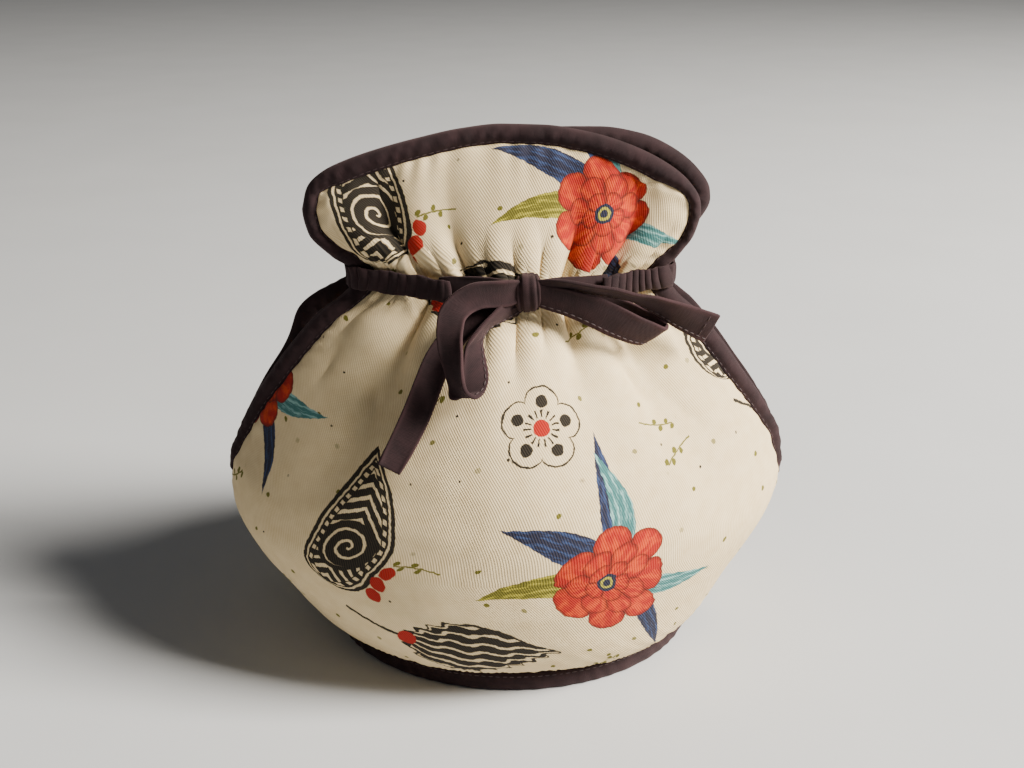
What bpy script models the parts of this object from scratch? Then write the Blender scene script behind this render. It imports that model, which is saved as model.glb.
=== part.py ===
"""Padded tea cosy with a drawn-in neck: two quilted cotton panels with bound edges, a bound hem, a gathered
casing round the neck and a tie in a bow.

The cosy stands on its hem, and the origin is on the surface below the middle of the whole cosy. The bow is at the
front, towards -Y. The spout slit is on the left, at -X, and the handle slit on the right. +Z is up. Tables and
helpers work in millimetres from the centre of the hem, and the meshes are placed in metres from the origin.
"""

import math
from collections import namedtuple

import bmesh
import bpy
import numpy as np
from mathutils import Vector

MM = 0.001
HEM_CENTRE_X = 3.2
FRONT, BACK = -1, 1

# Cloth and clearances
SEAM_GAP = 0.75
NECK_SEAM_GAP = 0.9
PAD = 7.0
PAD_MOST = 9.0
PAD_LEAST = 2.6
PAD_EDGE = 4.8
PAD_EDGE_REACH = 11.0
BINDING_WIDTH = 8.4
BINDING_THICKNESS = 7.4
HEM_HEIGHT = 8.6
HEM_WIDTH = 7.4
TIE_THICKNESS = 1.9
CASING_HEIGHT = 8.6
CASING_THICKNESS = 3.0

# Heights
NECK = 160.0
SLIT_FOOT_LEFT = 62.0
SLIT_FOOT_RIGHT = 46.0
SLIT_FOOT_RAMP = 12.0
COLLAR_WIDEST = 187.0

# The panel's grid. Rows follow the height of the bound edge, and the neck is the last row of the body.
COLUMNS = 28
BODY_ROWS = [9.0, 12.0, 18.0, 28.0, 40.0, 50.0, 57.0, 64.0, 72.0, 83.0, 95.0, 107.0, 118.0, 128.0, 137.0, 144.0,
             150.0, 155.0, NECK]
COLLAR_ROWS = 8

# Horizontal sections of the cloth's outer face out to the bound edges, seen from the front. bulge is how far the
# middle stands forward of the edges, gap is half of the slit, and flare straightens the section to a lens shape.
Section = namedtuple("Section", "height left right bulge gap_left gap_right flare")
SECTIONS = [
    Section(8.0, 81.0, 81.0, 70.5, 0.25, 0.25, 0.0),
    Section(10.0, 82.6, 82.4, 71.9, 0.25, 0.25, 0.0),
    Section(14.0, 88.0, 86.3, 76.6, 0.25, 0.25, 0.0),
    Section(22.0, 96.0, 91.5, 82.0, 0.25, 0.25, 0.0),
    Section(34.0, 105.0, 97.5, 86.5, 0.25, 0.25, 0.0),
    Section(48.0, 115.0, 105.5, 89.0, 0.25, 0.4, 0.0),
    Section(62.0, 122.5, 113.5, 88.2, 0.4, 2.0, 0.05),
    Section(76.0, 123.5, 117.5, 84.3, 3.0, 5.0, 0.2),
    Section(90.0, 119.0, 116.0, 77.0, 7.0, 8.5, 0.45),
    Section(105.0, 111.5, 108.0, 67.0, 11.5, 10.5, 0.7),
    Section(120.0, 101.0, 97.0, 56.5, 13.5, 11.5, 0.9),
    Section(134.0, 90.0, 86.5, 45.8, 14.0, 11.5, 1.0),
    Section(146.0, 79.0, 76.0, 34.2, 14.0, 11.5, 1.0),
    Section(154.0, 68.5, 67.0, 26.2, 13.5, 11.0, 1.0),
    Section(160.0, 63.5, 62.5, 21.0, 13.0, 11.0, 1.0),
    Section(167.0, 73.0, 67.5, 19.0, 12.0, 12.0, 1.0),
    Section(177.0, 82.5, 73.5, 15.0, 10.5, 13.5, 1.0),
    Section(187.0, 84.6, 75.4, 10.5, 9.2, 14.5, 1.0),
    Section(206.0, 84.6, 75.4, 2.0, 8.0, 15.0, 1.0),
    Section(220.0, 84.6, 75.4, -3.6, 7.8, 15.0, 1.0),
]

# The top of the collar from its widest place on the left, over the middle, to its widest place on the right.
Rim = namedtuple("Rim", "across front back")
COLLAR_RIM = [
    Rim(-84.6, 187.0, 187.0),
    Rim(-82.4, 195.2, 193.6),
    Rim(-76.0, 201.6, 198.6),
    Rim(-66.0, 206.6, 203.2),
    Rim(-52.0, 211.6, 208.2),
    Rim(-37.0, 215.8, 212.8),
    Rim(-20.0, 219.6, 216.8),
    Rim(-4.0, 221.4, 219.2),
    Rim(12.0, 221.2, 220.0),
    Rim(30.0, 218.6, 218.6),
    Rim(46.0, 213.8, 214.6),
    Rim(60.0, 207.0, 207.6),
    Rim(70.0, 199.0, 199.0),
    Rim(75.0, 190.8, 190.8),
    Rim(75.4, 187.0, 187.0),
]
BACK_COLLAR_SHIFT = 7.0

# The back panel's left shoulder stands out beyond the front's, beside the spout.
BACK_SHOULDER = 7.0
BACK_SHOULDER_HEIGHT = 142.0

# Folds that run up and down from the drawn-in neck. place and width are shares of the panel's breadth.
Fold = namedtuple("Fold", "place depth width down up")
FOLDS = [
    Fold(0.05, 2.2, 0.038, 22.0, 14.0),
    Fold(0.15, 4.6, 0.042, 40.0, 20.0),
    Fold(0.24, 3.6, 0.038, 26.0, 30.0),
    Fold(0.34, 4.2, 0.044, 30.0, 26.0),
    Fold(0.44, 3.4, 0.042, 22.0, 16.0),
    Fold(0.55, 3.8, 0.044, 34.0, 14.0),
    Fold(0.65, 3.4, 0.040, 24.0, 18.0),
    Fold(0.76, 4.6, 0.044, 30.0, 34.0),
    Fold(0.86, 3.8, 0.040, 38.0, 24.0),
    Fold(0.95, 2.2, 0.038, 24.0, 14.0),
    Fold(0.30, 1.4, 0.110, 80.0, 10.0),
    Fold(0.70, 1.2, 0.120, 90.0, 12.0),
]

# The padding stands up between the folds, just above and below the neck.
PUFF = 1.7
PUFF_FROM_NECK = 17.0
PUFF_REACH = 9.0

# Profile across a binding from its folded outer edge to its seam: place along the width and share of thickness.
Across = namedtuple("Across", "place thickness")
BINDING_PROFILE = [Across(0.0, 0.42), Across(0.16, 0.86), Across(0.55, 1.0), Across(1.0, 0.72)]

# The tie's ribbons. Each row gives the middle of the ribbon and the way its upper edge points: turn swings that
# edge from up towards the left, and roll brings it forward.
Way = namedtuple("Way", "x y z turn roll width")
TIE_RIBBONS = {
    "run_left": [
        Way(-42.0, -24.0, 160.9, 2.0, -14.0, 8.6),
        Way(-36.0, -26.5, 161.3, 2.0, -12.0, 9.4),
        Way(-22.3, -31.6, 162.0, 0.0, -10.0, 10.4),
        Way(-10.4, -34.6, 161.6, 0.0, -8.0, 9.6),
        Way(2.0, -37.6, 162.0, 0.0, 0.0, 7.0),
    ],
    "run_right": [
        Way(9.0, -37.2, 162.2, 0.0, 0.0, 7.0),
        Way(20.0, -32.2, 161.6, 0.0, -8.0, 8.2),
        Way(30.0, -27.7, 160.8, 0.0, -12.0, 8.0),
        Way(38.0, -24.0, 160.4, 0.0, -14.0, 7.8),
    ],
    "loop_left": [
        Way(4.0, -41.6, 163.8, 0.0, 0.0, 7.5),
        Way(-6.0, -45.6, 163.8, 4.0, 4.0, 9.6),
        Way(-15.0, -48.4, 162.2, 22.0, 8.0, 10.8),
        Way(-21.5, -51.2, 157.6, 58.0, 6.0, 11.0),
        Way(-23.7, -56.0, 150.6, 86.0, 2.0, 11.0),
        Way(-22.3, -61.8, 143.6, 96.0, 0.0, 11.0),
        Way(-20.0, -67.4, 136.8, 98.0, 0.0, 11.0),
        Way(-17.6, -71.8, 130.6, 100.0, 0.0, 11.0),
        Way(-15.6, -72.6, 127.6, 100.0, 0.0, 11.0),
        Way(-14.0, -69.8, 128.2, 100.0, 0.0, 11.0),
        Way(-13.0, -64.4, 134.4, 96.0, 0.0, 11.0),
        Way(-14.6, -57.6, 142.2, 88.0, 0.0, 11.0),
        Way(-14.0, -51.2, 149.0, 70.0, 0.0, 10.8),
        Way(-8.6, -45.0, 155.4, 40.0, 0.0, 9.6),
        Way(4.0, -37.6, 160.6, 8.0, 0.0, 7.0),
    ],
    "loop_right": [
        Way(8.0, -41.8, 161.8, 0.0, 0.0, 7.5),
        Way(20.0, -43.4, 159.4, -8.0, 2.0, 10.6),
        Way(31.0, -43.8, 155.6, -20.0, 4.0, 12.4),
        Way(41.5, -42.6, 150.2, -34.0, 6.0, 13.0),
        Way(50.0, -39.8, 145.6, -46.0, 6.0, 12.8),
        Way(56.0, -36.2, 143.0, -54.0, 4.0, 12.0),
        Way(57.0, -32.8, 143.4, -54.0, 0.0, 11.4),
        Way(51.0, -32.0, 147.4, -42.0, -6.0, 10.8),
        Way(42.0, -33.8, 152.2, -30.0, -8.0, 10.6),
        Way(31.0, -35.8, 156.6, -18.0, -8.0, 10.0),
        Way(20.0, -36.8, 159.4, -8.0, -6.0, 9.0),
        Way(8.0, -37.2, 160.6, 0.0, 0.0, 7.0),
    ],
    "tail_left": [
        Way(4.0, -40.0, 161.0, 20.0, 0.0, 7.0),
        Way(-9.0, -42.6, 156.2, 52.0, -14.0, 8.6),
        Way(-19.6, -46.4, 149.2, 66.0, -16.0, 10.0),
        Way(-27.2, -52.2, 141.0, 74.0, -8.0, 10.6),
        Way(-31.6, -58.6, 132.0, 72.0, -6.0, 11.0),
        Way(-36.0, -65.0, 122.0, 68.0, -4.0, 11.0),
        Way(-41.0, -70.4, 112.6, 64.0, -2.0, 10.6),
        Way(-46.4, -74.6, 103.4, 60.0, 0.0, 9.4),
    ],
    "tail_right": [
        Way(8.0, -40.6, 164.0, 0.0, 10.0, 7.0),
        Way(20.0, -42.4, 165.0, -4.0, 40.0, 8.4),
        Way(33.0, -42.4, 163.6, -10.0, 58.0, 9.6),
        Way(45.0, -40.0, 160.4, -18.0, 58.0, 10.4),
        Way(56.6, -36.4, 155.6, -24.0, 40.0, 11.0),
        Way(67.4, -32.8, 149.6, -28.0, 18.0, 12.2),
        Way(79.6, -28.6, 143.2, -26.0, 6.0, 13.6),
    ],
}
KNOT_CENTRE = (6.4, -38.7, 162.0)
KNOT_HALF_SIZE = (7.2, 5.6, 7.6)

# The casing round the neck, from its mouth at the front left, round the back, to its mouth at the front right.
CASING_MOUTH_LEFT = -0.58
CASING_MOUTH_RIGHT = 0.56
CASING_COLUMNS = 104
CASING_CROSS_ROWS = 3
CASING_RISE = 0.4
CASING_MOUTH_FLARE = 1.3
CASING_SIDE_LIFT = 2.6
CASING_GATHERS = 26
CASING_GATHER_DEPTH = 0.65
CASING_LIFT = 0.8
CASING_MOUTH_LIFT = 3.7
CASING_MOUTH_REACH = 14.0

HEM_SEGMENTS = 48
BASE_HALF_WIDTH = 80.0
BASE_HALF_DEPTH = 70.0


def ease(t):
    t = min(max(t, 0.0), 1.0)
    return t * t * (3 - 2 * t)


def mix(a, b, t):
    return a + (b - a) * t


def through(places, values, at):
    """Value on a smooth curve through the points that doesn't overshoot them."""
    steps = np.diff(places)
    rises = np.diff(values) / steps
    slopes = np.empty(len(values))
    slopes[0], slopes[-1] = rises[0], rises[-1]
    product = rises[:-1] * rises[1:]
    total = np.where(product > 0, rises[:-1] + rises[1:], 1.0)
    slopes[1:-1] = np.where(product > 0, 2 * product / total, 0.0)
    at = min(max(at, places[0]), places[-1])
    k = min(int(np.searchsorted(places, at, side="right")) - 1, len(steps) - 1)
    t = (at - places[k]) / steps[k]
    bends = steps[k] * (slopes[k] * t * (1 - t) ** 2 - slopes[k + 1] * t * t * (1 - t))
    return float(mix(values[k], values[k + 1], t * t * (3 - 2 * t)) + bends)


SECTION_COLUMNS = {name: np.array(column, float) for name, column in zip(Section._fields, zip(*SECTIONS))}


def section(name, height):
    return through(SECTION_COLUMNS["height"], SECTION_COLUMNS[name], height)


def cloth(side, u, height):
    """Point of a panel's smooth outer face. u runs from -1 at the left bound edge to 1 at the right one."""
    left, right, flare = section("left", height), section("right", height), section("flare", height)
    angle = u * math.pi / 2
    x = (right - left) / 2 + (left + right) / 2 * mix(math.sin(angle), u, flare)
    gap = mix(section("gap_left", height), section("gap_right", height), ease((u + 1) / 2))
    depth = gap + section("bulge", height) * max(math.cos(angle), 0.0) ** (1 + 0.25 * flare)
    if side == BACK:
        x += BACK_COLLAR_SHIFT * ease((height - NECK - 4) / 22) * (0.6 + 0.4 * u)
        x -= BACK_SHOULDER * math.exp(-(((height - BACK_SHOULDER_HEIGHT) / 12.0) ** 2)) * ((1 - u) / 2) ** 3
    return Vector((x, side * depth, height))


def slopes(side, u, height):
    """How the face moves with u and with the height."""
    step_u, step_height = 1e-3, 0.05
    low, high = max(u - step_u, -1.0), min(u + step_u, 1.0)
    by_u = (cloth(side, high, height) - cloth(side, low, height)) / (high - low)
    by_height = (cloth(side, u, height + step_height) - cloth(side, u, height - step_height)) / (2 * step_height)
    return by_u, by_height


def facing(side, u, height):
    by_u, by_height = slopes(side, u, height)
    return (by_u.cross(by_height) * -side).normalized()


def stepped_in(side, edge, index, distance):
    """The (u, height) this far in over the cloth from a point of its edge, square to the edge."""
    u, height = edge[index]
    before, after = edge[max(index - 1, 0)], edge[min(index + 1, len(edge) - 1)]
    along = (cloth(side, *after) - cloth(side, *before)).normalized()
    inward = along.cross(facing(side, u, height)) * -side
    steps = 8
    for _ in range(steps):
        a, b = slopes(side, u, height)
        aa, ab, bb = a.dot(a), a.dot(b), b.dot(b)
        ai, bi = a.dot(inward), b.dot(inward)
        scale = distance / steps / (aa * bb - ab * ab)
        u = min(max(u + (ai * bb - bi * ab) * scale, -1.0), 1.0)
        height += (bi * aa - ai * ab) * scale
    return u, height


def rim_curve(side):
    """The bound edge of the collar as many close (u, height) points, from neck to neck."""
    heights = np.linspace(NECK, COLLAR_WIDEST, 24)
    across = np.array([row.across for row in COLLAR_RIM])
    rise = np.array([row.front if side == FRONT else row.back for row in COLLAR_RIM])
    lengths = np.concatenate([[0.0], np.cumsum(np.hypot(np.diff(across), np.diff(rise)))])
    curve = [(-section("left", height), height) for height in heights]
    curve += [
        (through(lengths, across, at), through(lengths, rise, at)) for at in np.linspace(0, lengths[-1], 160)[1:-1]
    ]
    curve += [(section("right", height), height) for height in heights[::-1]]
    places = []
    for x, height in curve:
        left, right = section("left", height), section("right", height)
        places.append((min(max((x - (right - left) / 2) / ((left + right) / 2), -1.0), 1.0), height))
    return np.array(curve), np.array(places)


def resampled(curve, places, shares):
    """(u, height) at these shares of the curve's length."""
    lengths = np.concatenate([[0.0], np.cumsum(np.hypot(*np.diff(curve, axis=0).T))])
    at = np.array(shares) * lengths[-1]
    return [(float(np.interp(s, lengths, places[:, 0])), float(np.interp(s, lengths, places[:, 1]))) for s in at]


def edges_of(side):
    """Left edge going up, top edge going right and right edge going up, as (u, height)."""
    curve, places = rim_curve(side)
    # The collar's two upper corners lie at this share of the rim's length from either end.
    corner = 0.185
    rising = np.linspace(0, corner, COLLAR_ROWS + 1)[1:]
    left = [(-1.0, height) for height in BODY_ROWS] + resampled(curve, places, rising)
    right = [(1.0, height) for height in BODY_ROWS] + resampled(curve, places, 1 - rising)
    top = resampled(curve, places, [mix(corner, 1 - corner, share_across(k)) for k in range(COLUMNS + 1)])
    return left, top, right


def inset_edges(side, width, gap=0.0, at_neck=0.0):
    """The three edges moved in over the cloth by a binding's width, which ends at each slit's foot, and a gap."""
    left, top, right = edges_of(side)
    around = left + top[1:-1] + right[::-1]
    moved = []
    for index, (u, height) in enumerate(around):
        foot = SLIT_FOOT_LEFT if u < 0 else SLIT_FOOT_RIGHT
        share = ease((height - foot) / SLIT_FOOT_RAMP)
        clear = (gap + at_neck * math.exp(-(((height - NECK) / 7.0) ** 2))) * ease(share * 8)
        reach = width * share + clear
        moved.append(stepped_in(side, around, index, reach) if share > 0 else (u, height))
    rows = len(left)
    return moved[:rows], moved[rows - 1 : rows + COLUMNS], moved[: -rows - 1 : -1]


def share_across(column):
    """Share of the panel's breadth at a column. The columns lie closer together towards the bound edges."""
    t = column / COLUMNS
    return t - 0.03 * math.sin(math.tau * t)


def panel_places(side):
    """(u, height) for each place of the panel's grid, by row from the hem to the top of the collar."""
    left, top, right = inset_edges(side, BINDING_WIDTH, SEAM_GAP, at_neck=NECK_SEAM_GAP)
    rows = []
    for height, (left_u, left_height), (right_u, right_height) in zip(BODY_ROWS, left, right):
        row = []
        for column in range(COLUMNS + 1):
            t = share_across(column)
            lifted = height + (left_height - height) * (1 - t) ** 4 + (right_height - height) * t**4
            row.append((mix(left_u, right_u, t), lifted))
        rows.append(row)
    neck = [np.array(place) for place in rows[-1]]
    top = [np.array(place) for place in top]
    for count in range(1, COLLAR_ROWS + 1):
        v = count / COLLAR_ROWS
        start, end = np.array(left[len(BODY_ROWS) - 1 + count]), np.array(right[len(BODY_ROWS) - 1 + count])
        row = []
        for column in range(COLUMNS + 1):
            t = share_across(column)
            corners = mix(mix(neck[0], neck[-1], t), mix(top[0], top[-1], t), v)
            row.append(tuple(mix(start, end, t) + mix(neck[column], top[column], v) - corners))
        rows.append(row)
    return rows


def fold_depth(side, t, height):
    """How far the folds sink the padding at this share of the panel's breadth, or raise it between them."""
    depth = 0.0
    filled = 1.0
    for fold in FOLDS:
        place = fold.place if side == FRONT else 1 - fold.place
        reach = fold.up if height > NECK else fold.down
        across = math.exp(-(((t - place) / fold.width) ** 2))
        depth += fold.depth * across * math.exp(-(((height - NECK) / reach) ** 2))
        if fold.width < 0.1:
            filled = max(filled - across, 0.0)
    puff = math.exp(-(((abs(height - NECK) - PUFF_FROM_NECK) / PUFF_REACH) ** 2))
    return depth - PUFF * puff * filled


def solidified(obj, thickness, weights, offset):
    """Gives a sheet its thickness, which each vertex scales by its weight."""
    group = obj.vertex_groups.new(name="padding")
    for index, weight in enumerate(weights):
        group.add([index], weight, "REPLACE")
    solid = obj.modifiers.new("Padding", "SOLIDIFY")
    solid.thickness = thickness * MM
    solid.offset = offset
    solid.vertex_group = group.name
    solid.use_even_offset = False


def placed(point):
    """A point in metres from the origin, from one in millimetres from the hem's centre."""
    return (Vector(point) + Vector((HEM_CENTRE_X, 0.0, 0.0))) * MM


def sheet(name, collection, columns, rows, place, turned=False):
    """A mesh grid whose vertices go where place(column, row) says."""
    bm = bmesh.new()
    bmesh.ops.create_grid(bm, x_segments=columns, y_segments=rows, size=1.0)
    bm.verts.index_update()
    order = {}
    for vertex in bm.verts:
        column, row = round((vertex.co.x + 1) / 2 * columns), round((vertex.co.y + 1) / 2 * rows)
        order[vertex.index] = (column, row)
        vertex.co = placed(place(column, row))
    if turned:
        bmesh.ops.reverse_faces(bm, faces=bm.faces)
    mesh = bpy.data.meshes.new(name)
    bm.to_mesh(mesh)
    bm.free()
    obj = bpy.data.objects.new(name, mesh)
    collection.objects.link(obj)
    return obj, [order[index] for index in range(len(mesh.vertices))]


def material(name, colour, roughness):
    made = bpy.data.materials.new(name)
    made.use_nodes = True
    shader = made.node_tree.nodes["Principled BSDF"]
    shader.inputs["Base Color"].default_value = (*colour, 1.0)
    shader.inputs["Roughness"].default_value = roughness
    shader.inputs["Metallic"].default_value = 0.0
    return made


def panel(name, side, collection):
    """One padded panel, body and collar in one, between its bindings and the hem."""
    places = panel_places(side)
    faces_out = [[cloth(side, *place) for place in row] for row in places]

    def inner_face(column, row):
        u, height = places[row][column]
        return faces_out[row][column] - facing(side, u, height) * PAD

    obj, order = sheet(name, collection, COLUMNS, len(places) - 1, inner_face, turned=side == BACK)
    weights = []
    for column, row in order:
        here = faces_out[row][column]
        ends = [faces_out[row][0], faces_out[row][-1], faces_out[0][column], faces_out[-1][column]]
        nearest = min((here - end).length for end in ends)
        thick = mix(PAD_EDGE, PAD, ease(nearest / PAD_EDGE_REACH))
        thick -= fold_depth(side, share_across(column), places[row][column][1]) * ease(nearest / PAD_EDGE_REACH * 1.6)
        weights.append(min(max(thick, PAD_LEAST), PAD_MOST) / PAD_MOST)
    solidified(obj, PAD_MOST, weights, 1.0)
    return obj


def binding(name, side, collection):
    """The strip round a panel's free edge, from one slit's foot over the collar to the other slit's foot."""
    left, top, right = edges_of(side)
    outer = left + top[1:-1] + right[::-1]
    left, top, right = inset_edges(side, BINDING_WIDTH)
    inner = left + top[1:-1] + right[::-1]
    kept = []
    for index, (a, b) in enumerate(zip(outer, inner)):
        if (cloth(side, *a) - cloth(side, *b)).length > 0.12 * BINDING_WIDTH:
            kept.append(index)

    def middle(column, row):
        index = kept[row]
        t = BINDING_PROFILE[column].place
        u, height = mix(outer[index][0], inner[index][0], t), mix(outer[index][1], inner[index][1], t)
        return cloth(side, u, height) - facing(side, u, height) * PAD * 0.5

    # The grid's columns run in from the edge, which is to the right of the way that its rows run.
    obj, order = sheet(name, collection, len(BINDING_PROFILE) - 1, len(kept) - 1, middle, turned=side == BACK)
    solidified(obj, BINDING_THICKNESS, [BINDING_PROFILE[column].thickness for column, _ in order], 0.0)
    return obj


def hem_binding(name, collection):
    """The bound hem, an oval ring with a flat underside."""
    # Profile of the ring: how far in from its outer face, and how high.
    corner = 1.6
    profile = [
        (0.6, 0.0), (0.0, corner), (0.0, HEM_HEIGHT - corner), (0.9, HEM_HEIGHT), (HEM_WIDTH - 0.9, HEM_HEIGHT),
        (HEM_WIDTH, HEM_HEIGHT - corner), (HEM_WIDTH, corner), (HEM_WIDTH - 0.6, 0.0),
    ]
    reference = 100.0
    bm = bmesh.new()
    verts = [bm.verts.new((reference - inward, 0.0, height)) for inward, height in profile]
    edges = [bm.edges.new((a, b)) for a, b in zip(verts, verts[1:] + verts[:1])]
    bmesh.ops.spin(
        bm, geom=verts + edges, cent=(0, 0, 0), axis=(0, 0, 1), angle=math.tau, steps=HEM_SEGMENTS, use_duplicate=False
    )
    bmesh.ops.remove_doubles(bm, verts=bm.verts, dist=1e-3)
    for vertex in bm.verts:
        angle = math.atan2(vertex.co.y, vertex.co.x)
        inward = reference - math.hypot(vertex.co.x, vertex.co.y)
        out = Vector((math.cos(angle) / BASE_HALF_WIDTH, math.sin(angle) / BASE_HALF_DEPTH, 0.0)).normalized()
        oval = Vector((BASE_HALF_WIDTH * math.cos(angle), BASE_HALF_DEPTH * math.sin(angle), vertex.co.z))
        vertex.co = placed(oval - out * inward)
    bmesh.ops.recalc_face_normals(bm, faces=bm.faces)
    mesh = bpy.data.meshes.new(name)
    bm.to_mesh(mesh)
    bm.free()
    obj = bpy.data.objects.new(name, mesh)
    collection.objects.link(obj)
    return obj


def neck_path(height):
    """The line round the outside of the neck at this height, from the left mouth round the back to the right one."""
    line = [cloth(FRONT, u, height).xy for u in np.linspace(CASING_MOUTH_LEFT, -1, 24)]
    line += [cloth(BACK, u, height).xy for u in np.linspace(-1, 1, 70)]
    line += [cloth(FRONT, u, height).xy for u in np.linspace(1, CASING_MOUTH_RIGHT, 28)]
    line = np.array(line)
    lengths = np.concatenate([[0.0], np.cumsum(np.hypot(*np.diff(line, axis=0).T))])
    return line, lengths


def casing(name, collection):
    """The gathered casing that holds the tie to the neck."""
    rows = []
    for row in range(CASING_CROSS_ROWS + 1):
        v = row / CASING_CROSS_ROWS * 2 - 1
        rows.append((v, *neck_path(NECK + CASING_RISE + v * CASING_HEIGHT / 2)))

    def place(column, row):
        v, line, lengths = rows[row]
        total = lengths[-1]

        def on_line(s):
            s = min(max(s, 0.0), total)
            return Vector((np.interp(s, lengths, line[:, 0]), np.interp(s, lengths, line[:, 1]), 0.0))

        s = column / CASING_COLUMNS * total
        middle = (on_line(s - 4.0) + on_line(s) * 2 + on_line(s + 4.0)) / 4
        if column in (0, CASING_COLUMNS):
            middle = on_line(s)
        ahead = on_line(s + 5.0) - on_line(s - 5.0)
        out = Vector((-ahead.y, ahead.x, 0.0)).normalized()
        mouth = ease(min(s, total - s) / CASING_MOUTH_REACH)
        wave = math.cos(column / CASING_COLUMNS * CASING_GATHERS * math.tau)
        lift = CASING_THICKNESS / 2 + mix(CASING_MOUTH_LIFT, CASING_LIFT, mouth)
        lift += CASING_SIDE_LIFT * math.exp(-((middle.y / 13.0) ** 2)) * (1 + v * v)
        lift += CASING_GATHER_DEPTH * (1 + wave)
        middle.z = NECK + CASING_RISE + v * (CASING_HEIGHT / 2 + CASING_MOUTH_FLARE * (1 - mouth) + 0.3 * wave)
        return middle + out * lift

    obj, order = sheet(name, collection, CASING_COLUMNS, CASING_CROSS_ROWS, place)
    weights = [0.62 if row in (0, CASING_CROSS_ROWS) else 1.0 for _, row in order]
    solidified(obj, CASING_THICKNESS, weights, 0.0)
    return obj


def ribbon(name, collection, ways, steps):
    """A flat ribbon along a table of ways, a little cupped across."""
    points = [Vector(way[:3]) for way in ways]
    lengths = np.concatenate([[0.0], np.cumsum([(b - a).length for a, b in zip(points, points[1:])])])
    columns = {field: np.array([getattr(way, field) for way in ways], float) for field in Way._fields}

    def at(field, s):
        return through(lengths, columns[field], s)

    def place(column, row):
        s = row / steps * lengths[-1]
        turn, roll = math.radians(at("turn", s)), math.radians(at("roll", s))
        edge = Vector((-math.sin(turn) * math.cos(roll), -math.sin(roll), math.cos(turn) * math.cos(roll)))
        middle = Vector((at("x", s), at("y", s), at("z", s)))
        return middle + edge * at("width", s) * (column / 2 - 0.5)

    obj, order = sheet(name, collection, 2, steps, place)
    solidified(obj, TIE_THICKNESS, [1.0] * len(order), 0.0)
    return obj


def joined(obj, others, collection):
    """Unions the others into the object, and keeps them as hidden tools."""
    for other in others:
        union = obj.modifiers.new("Join " + other.name, "BOOLEAN")
        union.operation = "UNION"
        union.solver = "EXACT"
        union.object = other
        for holder in list(other.users_collection):
            holder.objects.unlink(other)
        collection.objects.link(other)
        other.hide_render = True
        other.display_type = "WIRE"


def tie(name, collection, tools):
    """The tie as one piece: its two runs along the neck, the knot, two loops and two tails."""
    bm = bmesh.new()
    bmesh.ops.create_uvsphere(bm, u_segments=14, v_segments=10, radius=1.0)
    for vertex in bm.verts:
        square = [math.copysign(abs(value) ** 0.7, value) for value in vertex.co]
        vertex.co = placed([c + half * value for c, half, value in zip(KNOT_CENTRE, KNOT_HALF_SIZE, square)])
    mesh = bpy.data.meshes.new(name)
    bm.to_mesh(mesh)
    bm.free()
    knot = bpy.data.objects.new(name, mesh)
    collection.objects.link(knot)
    ribbons = []
    for part, ways in TIE_RIBBONS.items():
        ribbons.append(ribbon(f"{name}_{part}", collection, ways, 2 * (len(ways) - 1)))
    joined(knot, ribbons, tools)
    return knot


def build():
    for obj in list(bpy.data.objects):
        bpy.data.objects.remove(obj, do_unlink=True)
    cosy = bpy.data.collections.new("tea_cosy")
    tools = bpy.data.collections.new("tea_cosy_tools")
    for collection in (cosy, tools):
        bpy.context.scene.collection.children.link(collection)
    tools.hide_render = True

    printed = material("printed_cotton", (0.72, 0.66, 0.53), 0.9)
    binding_cloth = material("plum_binding", (0.055, 0.03, 0.04), 0.85)
    tie_cloth = material("plum_tie", (0.07, 0.044, 0.047), 0.85)
    nodes = [
        (panel("panel_front", FRONT, cosy), printed),
        (panel("panel_back", BACK, cosy), printed),
        (binding("binding_front", FRONT, cosy), binding_cloth),
        (binding("binding_back", BACK, cosy), binding_cloth),
        (hem_binding("hem_binding", cosy), binding_cloth),
        (casing("neck_casing", cosy), binding_cloth),
        (tie("neck_tie", cosy, tools), tie_cloth),
    ]
    for obj, cloth_material in nodes:
        obj.data.materials.append(cloth_material)
        obj.data.shade_smooth()


build()
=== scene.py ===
# %% [markdown]
# # Dressing a padded tea cosy
# A tea cosy is a padded cloth cover that keeps a pot warm. This one has two padded panels, each with a bound
# edge. A gathered casing and a tie draw them in at the neck, and above it the cloth flares out into a collar.
# The plain solids of the cosy are loaded first. Every piece of cloth is then made on the place of its solid,
# with its folds, puckers, stitches and weave.

import math
from collections import namedtuple

import bmesh
import bpy
import numpy as np
from mathutils import Matrix, Vector


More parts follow.
